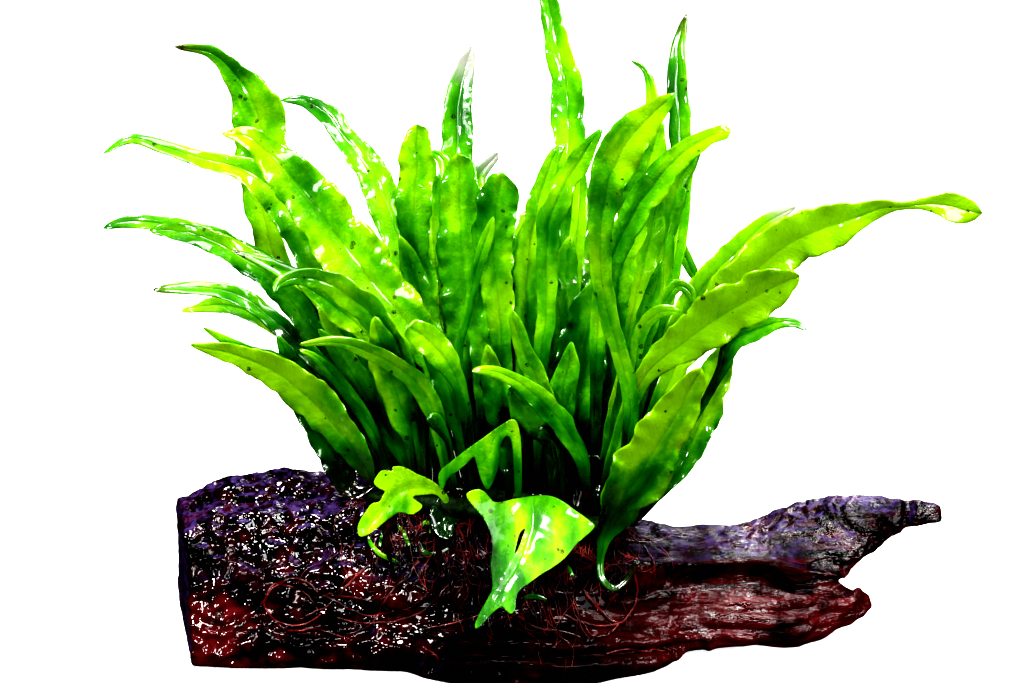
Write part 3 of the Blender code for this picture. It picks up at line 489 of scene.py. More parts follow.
draw = np.random.default_rng(20)
threads = []
for radius, path in DRAWN_ROOTS:
    line = curved(path, 60)
    hugged = []
    for x, h in line:
        start = Vector(EYE * MM)
        goal = Vector(toward((x, h), 0.0) * MM)
        spot, normal, face, gap = wood_ground.ray_cast(start, (goal - start).normalized())
        if spot is not None:
            wave = 0.35 + 0.35 * noise.noise(Vector((x / 6, h / 6, 3.0)))
            hugged.append(np.array(spot) / MM + np.array(normal) * (radius + wave))
    if len(hugged) > 8:
        hugged = np.array(hugged)
        for _ in range(4):
            hugged[1:-1] = 0.25 * hugged[:-2] + 0.5 * hugged[1:-1] + 0.25 * hugged[2:]
        threads.append(tube(hugged, np.linspace(radius, radius * 0.6, len(hugged)), 6))
for index in range(ROOT_COUNT):
    name, reach, path = RHIZOMES[index % 3]
    path = np.array(path, dtype=float)
    x = draw.uniform(path[0, 0], path[-1, 0])
    y = np.interp(x, path[:, 0], path[:, 1]) + draw.uniform(-2.5, 2.5)
    z = np.interp(x, path[:, 0], path[:, 2]) - draw.uniform(0.5, 3.0)
    place = np.array((x, y, z))
    front = -1.0 if index % 3 < 2 or draw.uniform() < 0.35 else 1.0
    heading = np.array((draw.normal(0, 0.9), front * draw.uniform(0.3, 1.0), -draw.uniform(0.3, 1.0)))
    steps = int(draw.integers(16, 58))
    line = [place]
    for step in range(steps):
        swirl = np.array((noise.noise(Vector((index * 3.1, step / 5.0, 0.0))),
                          noise.noise(Vector((index * 3.1, step / 5.0, 9.0))),
                          noise.noise(Vector((index * 3.1, step / 5.0, 18.0)))))
        heading = heading * 0.82 + swirl * 0.75 + np.array((0.0, front * 0.10, -0.10))
        heading /= np.linalg.norm(heading) + 1e-9
        place = place + heading * 1.25
        lift = 0.4 + 1.5 * abs(noise.noise(Vector((index * 1.7, step / 7.0, 5.0)))) + 2.4 / (1 + step / 3)
        place = on_wood(place, lift)
        if place[2] < 1.2:
            break
        line.append(place)
    if len(line) < 8:
        continue
    line = np.array(line)
    for _ in range(2):
        line[1:-1] = 0.25 * line[:-2] + 0.5 * line[1:-1] + 0.25 * line[2:]
    thick = ROOT_RADIUS * draw.uniform(0.55, 1.25)
    rows = len(line) * 3 // 2
    threads.append(tube(curved(line, rows), np.linspace(thick, thick * 0.45, rows), 4))
root_skin = Paint("wiry_roots")
plain = root_skin.coords()
tone = root_skin.noise(plain, 160.0, 3.0, 0.6)
root_skin.set("Base Color", root_skin.ramp(tone, (0.38, (0.006, 0.0008, 0.001)), (0.52, (0.070, 0.004, 0.005)),
                                           (0.64, (0.20, 0.016, 0.014)), (0.74, (0.34, 0.09, 0.05))))
root_skin.set("Roughness", 0.35)
root_skin.set("Coat Weight", 0.3)
roots_mesh = mesh_of("wiry_roots", threads)
roots_mesh.materials.append(root_skin.material)
wiry_roots = mesh_object("wiry_roots", roots_mesh)
mat_mesh = joined("root_mat_felt", ("root_mat",), -0.25)
felt = bpy.data.objects.new("felt", mat_mesh)
scene.collection.objects.link(felt)
fuse = felt.modifiers.new("fuse", "REMESH")
fuse.mode = "VOXEL"
fuse.voxel_size = 1.1 * MM
relax = felt.modifiers.new("relax", "SMOOTH")
relax.factor = 0.6
relax.iterations = 6
felt_mesh = modified(felt)
bpy.data.objects.remove(felt, do_unlink=True)
spots = points_of(felt_mesh)
normals = np.empty_like(spots).ravel()
felt_mesh.vertices.foreach_get("normal", normals)
normals = normals.reshape(-1, 3)
tangle = np.array([noise.noise(Vector(p / MM / 3.4)) * 0.8 + noise.noise(Vector(p / MM / 1.5)) * 0.5 - 0.35
                   for p in spots])
sunk = np.clip((44.0 - spots[:, 2] / MM) / 10.0, 0.0, 1.0) * 1.6
felt_mesh.vertices.foreach_set("co", (spots + normals * (tangle - sunk)[:, None] * MM).ravel())
smooth(felt_mesh)
felt_skin = Paint("root_felt")
plain = felt_skin.coords()
strings = felt_skin.noise(plain, 300.0, 5.0, 0.7, 1.5)
felt_skin.set("Base Color", felt_skin.ramp(strings, (0.42, (0.0012, 0.0004, 0.0003)), (0.58, (0.016, 0.002, 0.002)),
                                           (0.74, (0.06, 0.004, 0.004))))
felt_skin.set("Roughness", 0.5)
felt_skin.set("Specular IOR Level", 0.2)
felt_skin.bump(strings, 0.0016)
felt_mesh.materials.clear()
felt_mesh.materials.append(felt_skin.material)
root_felt = mesh_object("root_felt", felt_mesh)
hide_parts("root_mat")


# The fronds: long strap-like leaves, each a stiff green-brown stalk with a thin wet blade,
# quilted between its side veins, wavy along the edges and spotted brown with age. Each is laid
# just behind those in front of it, on sight lines from the viewer, so that none runs into another.
BLADE_THICKNESS = 0.7
STALK_THICKNESS = 1.5
BLADE_ROWS = 9
LAY_CELL = 1.0
LAY_GAP = 0.75
LEAN = 0.55
FOLD = 0.13
BLADE_ROLL = math.radians(24.0)
BOX_LOW, BOX_HIGH = (np.array(corner) / MM + inset for corner, inset in zip(cad_bounds, (0.05, -0.05)))
FINE_ROWS = 92
FINE_COLUMNS = 19
VEIN_STEP = 3.4
FRONDS = (
    ("left_01", 0.05, -26, ((-50, -16, 4), (-71, 16, 8), (-78.5, 36, 10), (-80.5, 52, 14),
        (-80.3, 68, 17), (-84, 79, 13), (-90, 87.3, 7), (-97, 93, 4), (-108, 94.3, 1.5))),
    ("left_02", -0.25, -38, ((-48, -12, 6), (-58, 14, 12), (-65, 33, 15), (-74, 46.5, 13),
        (-86, 55, 8), (-100, 58.5, 5.5), (-112, 62.5, 4.5), (-122, 64.8, 3), (-131, 60, 1))),
    ("left_03", -0.42, -26, ((-24, -12, 7), (-32, 4, 15), (-45, 19, 19), (-56, 34, 18.5),
        (-67.5, 49, 16), (-77, 59.5, 11), (-85, 65.5, 6.5), (-93, 66.5, 1.2))),
    ("left_04", -0.12, -42, ((-55, -8, 6), (-66, 6.5, 8), (-76, 19.5, 9), (-86, 26.8, 8.5),
        (-98, 33, 7), (-109, 35.5, 5.5), (-116, 35.5, 2))),
    ("left_05", 0.0, -32, ((-48, -14, 4), (-60, 3, 5), (-76, 22.3, 7), (-92, 31.8, 7),
        (-106, 36.5, 6), (-118, 38.3, 4.5), (-125, 38, 3.5), (-131, 36.2, 1.4))),
    ("left_06", -0.33, -33, ((-44, -10, 5), (-55, 8, 6), (-65, 18, 6), (-77, 24.5, 4.5),
        (-89, 29, 1.2))),
    ("left_07", -0.62, -28, ((-32, -14, 6), (-42, 5, 9), (-52, 14.5, 8.5), (-61, 19.5, 7),
        (-69, 20.5, 5), (-74.5, 18.5, 3.5), (-76, 15, 1.2))),
    ("left_08", -0.52, -31, ((-36, -12, 5), (-46, 2, 6), (-54, 9, 9), (-62, 15, 6),
        (-69, 19, 1.5))),
    ("left_09", -0.37, -44, ((-54, -16, 5), (-66, -3, 6), (-76, 6.5, 6), (-86, 14, 6),
        (-97, 17, 5), (-108, 17, 3.5), (-115, 16.5, 1.5))),
    ("left_10", -0.22, -41, ((-52, -20, 5), (-64, -5, 5), (-76, 4.8, 5), (-87, 10.5, 5.5),
        (-96, 11.6, 5), (-106, 9.7, 1.2))),
    ("left_11", -0.85, -45, ((-49, -37, 8), (-56, -27.5, 11.5), (-65, -18, 13), (-76, -9.5, 10),
        (-87, -4.7, 7.5), (-96, -2.3, 4.5), (-103, -1, 1.2))),
    ("left_12", -0.62, -46, ((-51, -48, 6), (-56, -38, 10.5), (-61, -27, 12), (-66.5, -15, 10),
        (-72, -4, 5), (-75, 2, 1.5))),
    ("left_13", -0.1, -45, ((-52, -30, 8), (-59, -16, 12), (-66, -5, 10), (-71, 1, 5),
        (-74, 4, 1.5))),
    ("left_14", -0.02, -36, ((-48, -20, 8), (-58, -2, 13), (-66, 10, 12), (-73, 18, 7),
        (-78, 24, 1.5))),
    ("left_15", -0.78, -20, ((-23, -30, 5), (-27, -18, 7), (-34, -10, 6), (-44, -4, 5.5),
        (-56, 0, 3.5), (-68, -1, 1.2))),
    ("left_17", -0.82, -12, ((-14, -28, 4), (-17, -14, 5), (-22, -5, 8.5), (-27.5, 1, 10),
        (-33.5, 5, 6))),
    ("centre_01", 0.1, -28, ((-30, -10, 5), (-31, 15, 9), (-34.5, 28, 11), (-38.7, 40, 12),
        (-43.8, 52, 10.5), (-49.5, 60.5, 8.5), (-55, 67.5, 7.5), (-60, 73.3, 6.5),
        (-66.5, 77, 4), (-74, 77.2, 1.2))),
    ("centre_02", -0.05, -24, ((-24, -10, 6), (-28, 15, 8), (-31.3, 35, 10),
        (-31, 48, 11.5), (-30.3, 58, 11), (-30, 65, 9.5), (-30.5, 69.5, 6))),
    ("centre_03", 0.3, -16, ((-17, 0, 7), (-18, 30, 9), (-17.6, 55, 10.5), (-17.3, 70, 9.5),
        (-16.5, 80, 8), (-14.8, 88, 6), (-13, 94.5, 3))),
    ("centre_04", 0.42, -12, ((-14, 0, 6), (-14.5, 30, 8), (-13, 46, 7), (-10, 54, 5),
        (-4.5, 60.5, 3))),
    ("centre_05", -0.15, -12, ((-13, -15, 8), (-14, 5, 15), (-15.5, 25, 17), (-16.5, 42, 14),
        (-17, 53, 10.5), (-17.5, 60, 5))),
    ("centre_06", -0.32, -1, ((-3, -5, 6), (-4.5, 15, 10), (-6, 28, 12), (-5.6, 38, 13.5),
        (-4.4, 47, 12.5), (-3, 54, 6))),
    ("centre_07", -0.44, -9, ((-15, -30, 2.5), (-17, -5, 2.5), (-14, 10, 3), (-11, 24, 4),
        (-8, 33, 4), (-6, 40, 1.2))),
    ("centre_09", -0.22, 4, ((4, -10, 6), (4.5, 10, 8), (5.5, 28, 8.5), (8, 42, 7.5),
        (11, 53, 5.5), (14, 60, 4), (17, 63, 1.5))),
    ("centre_10", -0.4, 8, ((9, -10, 5), (11, 10, 6), (11, 26, 7), (12.5, 40, 8),
        (17.5, 51, 7.5), (23, 60, 6.5), (29, 68.5, 1.2))),
    ("centre_12", 0.35, 14, ((15, 0, 7), (17, 30, 8), (18, 55, 8.5), (18, 72, 10),
        (16.2, 87, 9.2), (13.4, 100, 7.2), (11.5, 109, 5.7), (10.8, 116, 3.7), (11, 122, 1.3))),
    ("centre_13", -0.5, 16, ((13, -25, 5), (8, -12, 7), (4, -3, 6), (1, 6, 4), (0, 10, 1.2))),
    ("right_01", -0.3, 20, ((20.5, -35, 4), (21.5, -20, 12), (22.5, -5, 16), (25, 8, 14),
        (27.5, 18, 7), (29, 25, 1.5))),
    ("right_02", -0.75, 36, ((38, -22, 5), (35, -6, 5.5), (30.5, 10, 6), (28.5, 25, 7),
        (29, 40, 9), (31.8, 53.5, 13), (37.3, 64.3, 13.5), (45, 72.7, 9), (52.5, 79.5, 2))),
    ("right_03", -0.25, 30, ((32, -5, 6), (34, 15, 8), (37, 32, 9), (40, 46, 10.5),
        (43.5, 56, 10), (46, 65, 7), (48, 71, 1.5))),
    ("right_04", 0.2, 40, ((44, -10, 5), (50, 15, 5), (53.5, 35, 5.5), (54.5, 50, 6),
        (54, 65, 7), (53, 80, 7), (53, 92, 5), (54.5, 100, 3), (56, 105, 1.2))),
    ("right_05", 0.1, 34, ((36, 0, 4), (40, 30, 5), (43, 55, 5), (44.5, 72, 4.5),
        (44.5, 81, 3.5), (42.5, 87, 2), (38, 90, 1))),
    ("right_06", -0.55, 26, ((27, -15, 4), (28, 8, 6), (32, 26, 8), (38, 39, 9),
        (46, 51, 9.5), (54, 59.5, 8), (61, 64.5, 5.5), (66, 66.5, 5), (70, 67.5, 6.5))),
    ("right_07", -0.08, 24, ((37, -14, 4), (44, 10, 6), (48, 26, 6.5), (50, 40, 7),
        (54, 52, 7), (58, 59, 4), (61, 63, 1.2))),
    ("right_08", -0.18, 33, ((36, -5, 5), (39, 12, 8), (42, 25, 9), (44.5, 36, 8.5),
        (46.5, 46, 5), (47.5, 52, 1.5))),
    ("right_09", 0.15, 42, ((48, -8, 5), (56, 10, 8), (64, 21, 9), (72, 29, 8),
        (80, 37, 6), (87, 41.5, 3.5), (91, 43, 1.2))),
    ("right_10", -0.03, 34, ((46, -22, 5), (54, -5, 9), (64, 8.5, 13), (76, 21.3, 15),
        (88, 31, 16), (100, 36.4, 15.5), (111, 40, 9), (119, 43, 5.2), (125, 43.5, 2.7),
        (132, 44.1, 4.2), (139, 43.5, 8), (145, 42, 9.5), (150.5, 41, 4))),
    ("right_11", -0.7, 28, ((31, -42, 4), (37, -22, 5), (44, -9, 7), (54, -1, 13),
        (64, 6.5, 16), (75, 13, 16), (85, 18, 12), (92, 21, 4))),
    ("right_12", -0.35, 40, ((43, -50, 2), (50, -38, 2.2), (60, -22, 2.5), (66.5, -10, 3.5),
        (71, -0.5, 6.5), (77, 3.2, 6.5), (84, 5.8, 4.5), (90, 6, 3), (94.5, 3.5, 1.2))),
    ("right_13", -0.76, (40, -70, -31), ((37, -76, 2.2), (32.5, -79, 2.2), (28.6, -75, 2.2),
        (28.6, -67, 3), (31, -59, 8), (36, -50, 15), (41.5, -41, 18), (47, -32.5, 16.5),
        (53.2, -22, 12.5), (58, -13, 7.5), (60.5, -8.5, 3))),
    ("right_14", -0.3, 33, ((38, -57, 3), (44, -51.5, 4), (50, -45, 5), (55.5, -37, 8),
        (60, -26.5, 11), (64, -14, 11.5), (68, -4.5, 7), (71, 3, 1.2))),
    ("right_15", -0.45, 24, ((29, -40, 3), (32, -28, 5), (34.5, -17, 5.5), (35.5, -10, 3.5),
        (35.5, -6, 1.2))),
    ("front_03", -0.9, 24, ((23, -41, 4), (20, -32.5, 6), (15.3, -25.5, 7.5), (9, -19, 7.5),
        (3, -13.6, 5.2), (-4, -10.2, 4), (-9, -9.2, 3), (-12.8, -9.3, 1.3))),
    ("back_01", 0.95, -20, ((-32, -12, 7), (-45, 14, 12), (-51, 27, 13), (-56, 37, 8),
        (-59, 42, 2))),
    ("back_02", 0.75, -22, ((-22, 0, 8), (-21, 18, 11), (-19, 34, 13), (-19, 46, 9),
        (-20, 52, 2))),
    ("back_03", 1.1, -5, ((-4, 0, 7), (-1, 16, 10), (2, 28, 12), (4, 37, 8), (5, 42, 2))),
    ("back_04", 0.85, 12, ((15, 5, 8), (20, 22, 12), (24, 36, 14), (27, 46, 9), (29, 52, 2))),
    ("back_05", 1.1, 24, ((29, 0, 8), (37, 16, 11), (43, 28, 12), (47, 36, 7), (49, 40, 2))),
    ("back_06", 0.55, 24, ((38, -18, 5), (51, -2, 10), (61, 8, 12), (70, 16, 9), (77, 22, 2))),
)

# Broad forked fronds that hang over the front of the wood: name, where the stalk leaves the
# stem as seen (x, h) and its depth, how much further forward the far end lies and how far off
# that is, the line it is domed about, then its edge and any slit in it, as seen: x and h
HANGING = (
    ("front_01", (6, -48), -19.6, -30.0, 44.0, 6.0, (
        (-15.2, -49), (-12.5, -47.3), (-9.5, -47.3), (-7.4, -49.6), (-5.5, -51.9), (0, -50.5),
        (5, -49.6), (11, -49), (15, -50.2), (20, -53.8), (25, -57.4), (27, -59), (24.6, -61.5),
        (20.3, -65), (17.8, -68.6), (14, -71.8), (9, -74.6), (6, -77), (2, -79.8), (1.1, -83),
        (1.4, -85.4), (0, -87.4), (-1.7, -86.4), (-3, -84.4), (-6, -86.5), (-9, -90),
        (-11.3, -92.3), (-12.2, -91), (-10.5, -87), (-8.5, -83.5), (-6, -79), (-6.5, -75),
        (-7, -70), (-6, -65), (-7, -61), (-9, -56.5), (-13, -52)),
     ((4.6, -59.4), (2.4, -61), (1.6, -64.5), (0.6, -68.6), (2.2, -66), (3.4, -62.5))),
    ("front_02", (2, -50.5), -19.6, -11.0, 40.0, -4.0, (
        (1.0, -24), (-3, -26.4), (-6, -28.4), (-10, -31.4), (-15, -34.8), (-20, -38.8),
        (-23.8, -41.7), (-23.4, -46.5), (-22, -48), (-20.8, -43.6), (-17, -41.4), (-13, -37.6),
        (-12, -36.6), (-10.9, -41), (-9.9, -44.5), (-8, -48), (-6.3, -46), (-4.5, -41.5),
        (-4, -37), (-3.8, -33), (-2, -29.8), (0, -31), (0.6, -40), (0.8, -50.5), (3.2, -50.5),
        (3.2, -40), (2.8, -29)),
     ()),
    ("front_06", (-21, -51.5), -20.2, -16.0, 30.0, -34.0, (
        (-38.6, -40), (-35.5, -39.8), (-33, -40.8), (-30.5, -42.4), (-27.5, -43.5), (-25, -44.9),
        (-22.3, -47), (-19.6, -50.6), (-21.5, -52.4), (-24, -48.6), (-28, -49), (-32.4, -49.5),
        (-30.5, -51), (-28, -52.7), (-31, -55.2), (-33, -55.4), (-36, -54.4), (-38.5, -56),
        (-41.5, -58.3), (-44, -60.5), (-46, -61.8), (-48.8, -62.9), (-49.5, -60.5),
        (-49.3, -58.5), (-48, -56), (-46.5, -54), (-45, -51.6), (-42.3, -51.5), (-41.5, -49.5),
        (-40.4, -47.8), (-42, -47.5), (-44.4, -45.6), (-44, -44), (-42, -41.2), (-40, -41.2),
        (-38, -41.6)),
     ()),
)
# Per frond, a tone for its age that also holds painted light and shade: fronds that face away from the lamps are set
# brighter, and fronds in shade are set darker.
AGES_AND_LIGHT = {
    "left_01": 0.75, "left_02": 0.75, "left_03": 0.9, "left_04": 0.34, "left_05": 0.42, "left_06": 0.6, "left_07": 0.55,
    "left_08": 0.9, "left_09": 0.35, "left_10": 1.0, "left_11": 1.4, "left_12": 0.5, "left_13": 0.35, "left_14": 0.3,
    "left_15": 0.85, "left_17": 0.7, "centre_01": 0.6, "centre_02": 0.7, "centre_03": 0.5, "centre_04": 0.9,
    "centre_05": 0.52, "centre_06": 0.5, "centre_07": 0.52, "centre_09": 0.75, "centre_10": 0.65, "centre_12": 0.5,
    "centre_13": 0.75, "right_01": 0.5, "right_02": 0.7, "right_03": 0.35, "right_04": 0.68, "right_05": 0.9,
    "right_06": 0.55, "right_07": 0.45, "right_08": 0.8, "right_09": 1.0, "right_10": 1.4, "right_11": 1.3,
    "right_12": 0.5, "right_13": 1.5, "right_14": 1.4, "right_15": 1.4, "front_01": 2.1, "front_02": 1.45,
    "front_03": 0.75, "front_06": 2.3,
}
BURNT = ("left_01", "left_06", "left_09", "right_04")
BLEACHED = ("centre_03", "right_09", "centre_04")

def as_seen(x, y, z):
    """Where a point in space is seen: (x, h), and its own depth."""
    away = np.array((x, y, z)) - TARGET
    shrink = VIEW_DISTANCE / (VIEW_DISTANCE + away.dot(AHEAD))
    return x * shrink, away.dot(UP) * shrink, y


def stalk_start(base, place):
    """On top of the stem for a frond that rises from it, or the point given."""
    if isinstance(base, tuple):
        return base
    path = np.array(next(row[2] for row in RHIZOMES if place < row[1]), dtype=float)
    x = float(np.clip(base, path[0, 0] + 2, path[-1, 0] - 2))
    y = float(np.interp(x, path[:, 0], path[:, 1]))
    z = float(np.interp(x, path[:, 0], path[:, 2]))
    return as_seen(x, y, z + RHIZOME_RADIUS + 1.3)


def through(points, rows):
    """Rows of (x, h, width) on a smooth line through the points, and its length as it is seen."""
    knots = np.array(points, dtype=float)
    knots = np.vstack([2 * knots[0] - knots[1], knots, 2 * knots[-1] - knots[-2]])
    line = []
    for i in range(1, len(knots) - 2):
        a, b, c, d = knots[i - 1 : i + 3]
        for t in np.linspace(0.0, 1.0, 16, endpoint=False):
            line.append(0.5 * (2 * b + (c - a) * t + (2 * a - 5 * b + 4 * c - d) * t * t
                               + (3 * b - a - 3 * c + d) * t ** 3))
    line.append(knots[-2])
    line = np.array(line)
    length = np.append(0.0, np.cumsum(np.hypot(*np.diff(line[:, :2], axis=0).T)))
    at = np.linspace(0.0, length[-1], rows)
    return np.stack([np.interp(at, length, column) for column in line.T], axis=1), length[-1]


def across(midrib, width):
    """The two edges and the midrib of a blade that turns with its midrib."""
    course = np.gradient(midrib, axis=0)
    course /= np.linalg.norm(course, axis=1)[:, None] + 1e-9
    side = np.stack([-course[:, 1], course[:, 0]], axis=1) * (width / 2)[:, None]
    return np.stack([midrib - side, midrib, midrib + side], axis=1)


def cells(grid, depth):
    """The cells of the plane that a strip covers, with the depth it has in each."""
    found = {}
    for i in range(len(grid) - 1):
        for t in np.linspace(0.0, 1.0, 9):
            row = (1 - t) * grid[i] + t * grid[i + 1]
            height = (1 - t) * depth[i] + t * depth[i + 1]
            steps = max(3, int(np.hypot(*(row[-1] - row[0])) / (0.6 * LAY_CELL)))
            for s in np.linspace(0.0, 1.0, steps):
                x, h = (1 - s) * row[0] + s * row[-1]
                at = (1 - s) * height[0] + s * height[-1]
                key = (round(x / LAY_CELL), round(h / LAY_CELL))
                low, high, where = found.get(key, (at, at, i))
                found[key] = (min(low, at), max(high, at), where)
    return found


def lay(grid, depth, laid):
    """Moves a blade back, row by row, until it is just behind those already in front of it."""
    depth = depth.copy()
    for _ in range(14):
        raised = np.zeros(len(grid))
        for key, (low, high, i) in cells(grid, depth).items():
            lack = 0.0
            for dx in (-1, 0, 1):
                for dh in (-1, 0, 1):
                    taken = laid.get((key[0] + dx, key[1] + dh), -1e9)
                    lack = max(lack, taken + LAY_GAP + THICK[i] / 2 - low)
            raised[i] = max(raised[i], lack)
            raised[i + 1] = max(raised[i + 1], lack)
        if raised.max() < 0.02:
            break
        depth += raised[:, None]
        eased = depth.copy()
        eased[1:-1] = 0.25 * depth[:-2] + 0.5 * depth[1:-1] + 0.25 * depth[2:]
        depth = np.maximum(eased, np.where(raised[:, None] > 0, depth, eased))
    return depth


def room_of(grid, depth):
    return {key: high + THICK[i] / 2 for key, (low, high, i) in cells(grid, depth).items()}


def blade_parts(points, depth, seed, rows=FINE_ROWS, columns=FINE_COLUMNS):
    """Corners, faces, patterns' coordinates and tone of a fine blade along the midrib."""
    midrib, length = through(points, rows)
    draw = np.random.default_rng(seed)
    along = np.linspace(0.0, 1.0, rows)
    coarse = np.linspace(0.0, 1.0, len(depth))
    q = np.linspace(-1.0, 1.0, columns)
    width = np.maximum(midrib[:, 2], 1.2)
    rounded = np.sqrt(np.clip(1.0 - ((along - 0.972) / 0.028).clip(0.0) ** 2, 0.0, 1.0))
    width = width * (0.12 + 0.88 * rounded)
    broad = np.clip((width - 2.4) / 5.0, 0.0, 1.0)
    mm_along = along * length
    phase = draw.uniform(0, 6.28, 6)
    wander = np.array([[noise.noise(Vector((seed * 7.3 + side * 40, m / 7.0, 0.0))) for m in mm_along]
                       for side in (-1, 1)])
    frill = np.array([[noise.noise(Vector((seed * 3.9 + side * 17, m / 2.8, 4.0))) for m in mm_along]
                      for side in (-1, 1)])
    edge_wave = 1.0 + (0.20 * wander + 0.11 * frill) * broad
    middle = midrib[:, :2]
    middle[:, 0] += 0.5 * wander[0] * broad
    course = np.gradient(middle, axis=0)
    course /= np.linalg.norm(course, axis=1)[:, None] + 1e-9
    side = np.stack([-course[:, 1], course[:, 0]], axis=1)
    half = width[:, None] / 2 * np.where(q[None, :] < 0, edge_wave[0][:, None], edge_wave[1][:, None])
    offset = q[None, :] * half
    grid = middle[:, None, :] + side[:, None, :] * offset[..., None]
    back = np.stack([np.interp(along, coarse, column) for column in depth.T], axis=1)
    kernel = np.array([1, 2, 3, 4, 3, 2, 1]) / 16.0
    for column in range(3):
        padded = np.concatenate([[back[0, column]] * 3, back[:, column], [back[-1, column]] * 3])
        back[:, column] = np.convolve(padded, kernel, "valid")
    plane = np.where(q[None, :] < 0, back[:, 1:2] + (back[:, 1:2] - back[:, 0:1]) * q[None, :],
                     back[:, 1:2] + (back[:, 2:3] - back[:, 1:2]) * q[None, :])
    gutter = FOLD * width[:, None] * (1.0 - np.abs(q)[None, :]) ** 1.3
    ruffle = 0.085 * (width * broad)[:, None] * np.abs(q)[None, :] ** 2.2 * np.where(
        q[None, :] < 0, np.sin(mm_along * 0.42 + phase[0])[:, None], np.sin(mm_along * 0.37 + phase[1])[:, None])
    ruffle += 0.045 * (width * broad)[:, None] * np.abs(q)[None, :] ** 3 * np.where(
        q[None, :] < 0, np.sin(mm_along * 1.2 + phase[2])[:, None], np.sin(mm_along * 1.05 + phase[3])[:, None])
    vein = (mm_along[:, None] - np.abs(offset) * 0.95 + np.where(q[None, :] < 0, 0.0, VEIN_STEP / 2)) / VEIN_STEP
    cushion = np.abs(np.sin(math.pi * vein)) ** 0.75 - 0.6
    quilt = -0.17 * cushion * broad[:, None] * np.clip(1.35 - np.abs(q)[None, :], 0.0, 1.0) * np.clip(
        np.abs(offset) / 0.9, 0.0, 1.0)
    dimples = np.array([[noise.noise(Vector((o / 2.6 + seed, m / 2.6, seed * 3.1))) for o in row]
                        for row, m in zip(offset, mm_along)])
    swells = np.array([[noise.noise(Vector((o / 8.0 + seed, m / 10.0, seed * 1.7))) for o in row]
                       for row, m in zip(offset, mm_along)])
    groove = 0.22 * np.exp(-((offset / 0.55) ** 2)) * broad[:, None]
    deep = plane + gutter + ruffle + quilt + groove + (0.26 * dimples + 1.1 * swells) * broad[:, None]
    surface = toward(grid, deep)
    du = np.gradient(surface, axis=0)
    dv = np.gradient(surface, axis=1)
    normal = np.cross(du, dv)
    normal /= np.linalg.norm(normal, axis=2)[..., None] + 1e-12
    round_stalk = np.clip(1.0 - broad * 1.6, 0.0, 1.0)
    thin = 0.30 * np.clip(1.2 - np.abs(q)[None, :] ** 6, 0.25, 1.0) + 0.45 * np.exp(-((offset / 0.8) ** 2)) * (
        1.0 - 0.8 * along[:, None])
    stout = width[:, None] * 0.62 * np.sqrt(np.clip(1.02 - q[None, :] ** 2, 0.0, 1.0))
    thick = thin * (1 - round_stalk[:, None]) + stout * round_stalk[:, None]
    first = surface + normal * (thick / 2)[..., None]
    second = surface - normal * (thick / 2)[..., None]
    corners = np.concatenate([first.reshape(-1, 3), second.reshape(-1, 3)])
    corners = np.clip(corners, BOX_LOW, BOX_HIGH)
    index = np.arange(rows * columns).reshape(rows, columns)
    top = np.stack([index[:-1, :-1], index[:-1, 1:], index[1:, 1:], index[1:, :-1]], axis=-1).reshape(-1, 4)
    bottom = top[:, ::-1] + rows * columns
    ring = np.concatenate([index[0, :], index[1:, -1], index[-1, -2::-1], index[-2:0:-1, 0]])
    after = np.roll(ring, -1)
    rim = np.stack([ring, ring + rows * columns, after + rows * columns, after], axis=-1)
    faces = np.concatenate([top[:, ::-1], bottom[:, ::-1], rim[:, ::-1]])
    flat_uv = np.stack([(offset * MM).ravel(), (mm_along[:, None] * MM + 0.0 * offset).ravel()], axis=1)
    flat_uv = np.concatenate([flat_uv, flat_uv])
    flat_uv += (0.05 * (seed % 9), 0.3 * seed)
    vein_uv = np.stack([np.abs(offset).ravel() * MM, vein.ravel()], axis=1)
    vein_uv = np.concatenate([vein_uv, vein_uv])
    tone = np.concatenate([np.repeat(along, columns)] * 2)
    return corners, faces, flat_uv, vein_uv, tone


def blade_mesh(name, pieces, age_and_light, burnt):
    """One mesh from the fine strips of a frond, with the coordinates that its patterns follow."""
    corners, faces, flat_uv, vein_uv, tone = [], [], [], [], []
    count = 0
    for part in pieces:
        corners.append(part[0])
        faces.append(part[1] + count)
        flat_uv.append(part[2])
        vein_uv.append(part[3])
        tone.append(part[4])
        count += len(part[0])
    corners = np.concatenate(corners) * MM
    faces = np.concatenate(faces)
    flat_uv, vein_uv, tone = np.concatenate(flat_uv), np.concatenate(vein_uv), np.concatenate(tone)
    mesh = bpy.data.meshes.new(name)
    mesh.from_pydata(corners.tolist(), [], faces.tolist())
    loops = faces.ravel()
    for layer_name, values in (("blade", flat_uv), ("veins", vein_uv)):
        layer = mesh.uv_layers.new(name=layer_name)
        layer.data.foreach_set("uv", values[loops].ravel())
    colours = mesh.color_attributes.new("tone", "FLOAT_COLOR", "POINT")
    packed = np.stack([tone, np.full(count, age_and_light), np.full(count, burnt), np.ones(count)], axis=1)
    colours.data.foreach_set("color", packed.ravel())
    smooth(mesh)
    return mesh


skin = Paint("frond")
flat = skin.coords((1000.0, 1000.0, 1.0), "blade")
lengthwise = skin.coords((1000.0, 380.0, 1.0), "blade")
vein_map = skin.coords((1.0, 1.0, 1.0), "veins")
tones = skin.node("Attribute", attribute_name="tone")
parts = skin.node("SeparateColor")
skin.feed(parts.inputs[0], tones.outputs["Color"])
at, age_and_light, burnt = parts.outputs
clouds = skin.noise(lengthwise, 0.085, 3.0, 0.5)
mottle = skin.noise(flat, 0.40, 4.0, 0.6)
place_split = skin.node("SeparateXYZ")
skin.feed(place_split.inputs[0], skin.node("TexCoord").outputs["Object"])
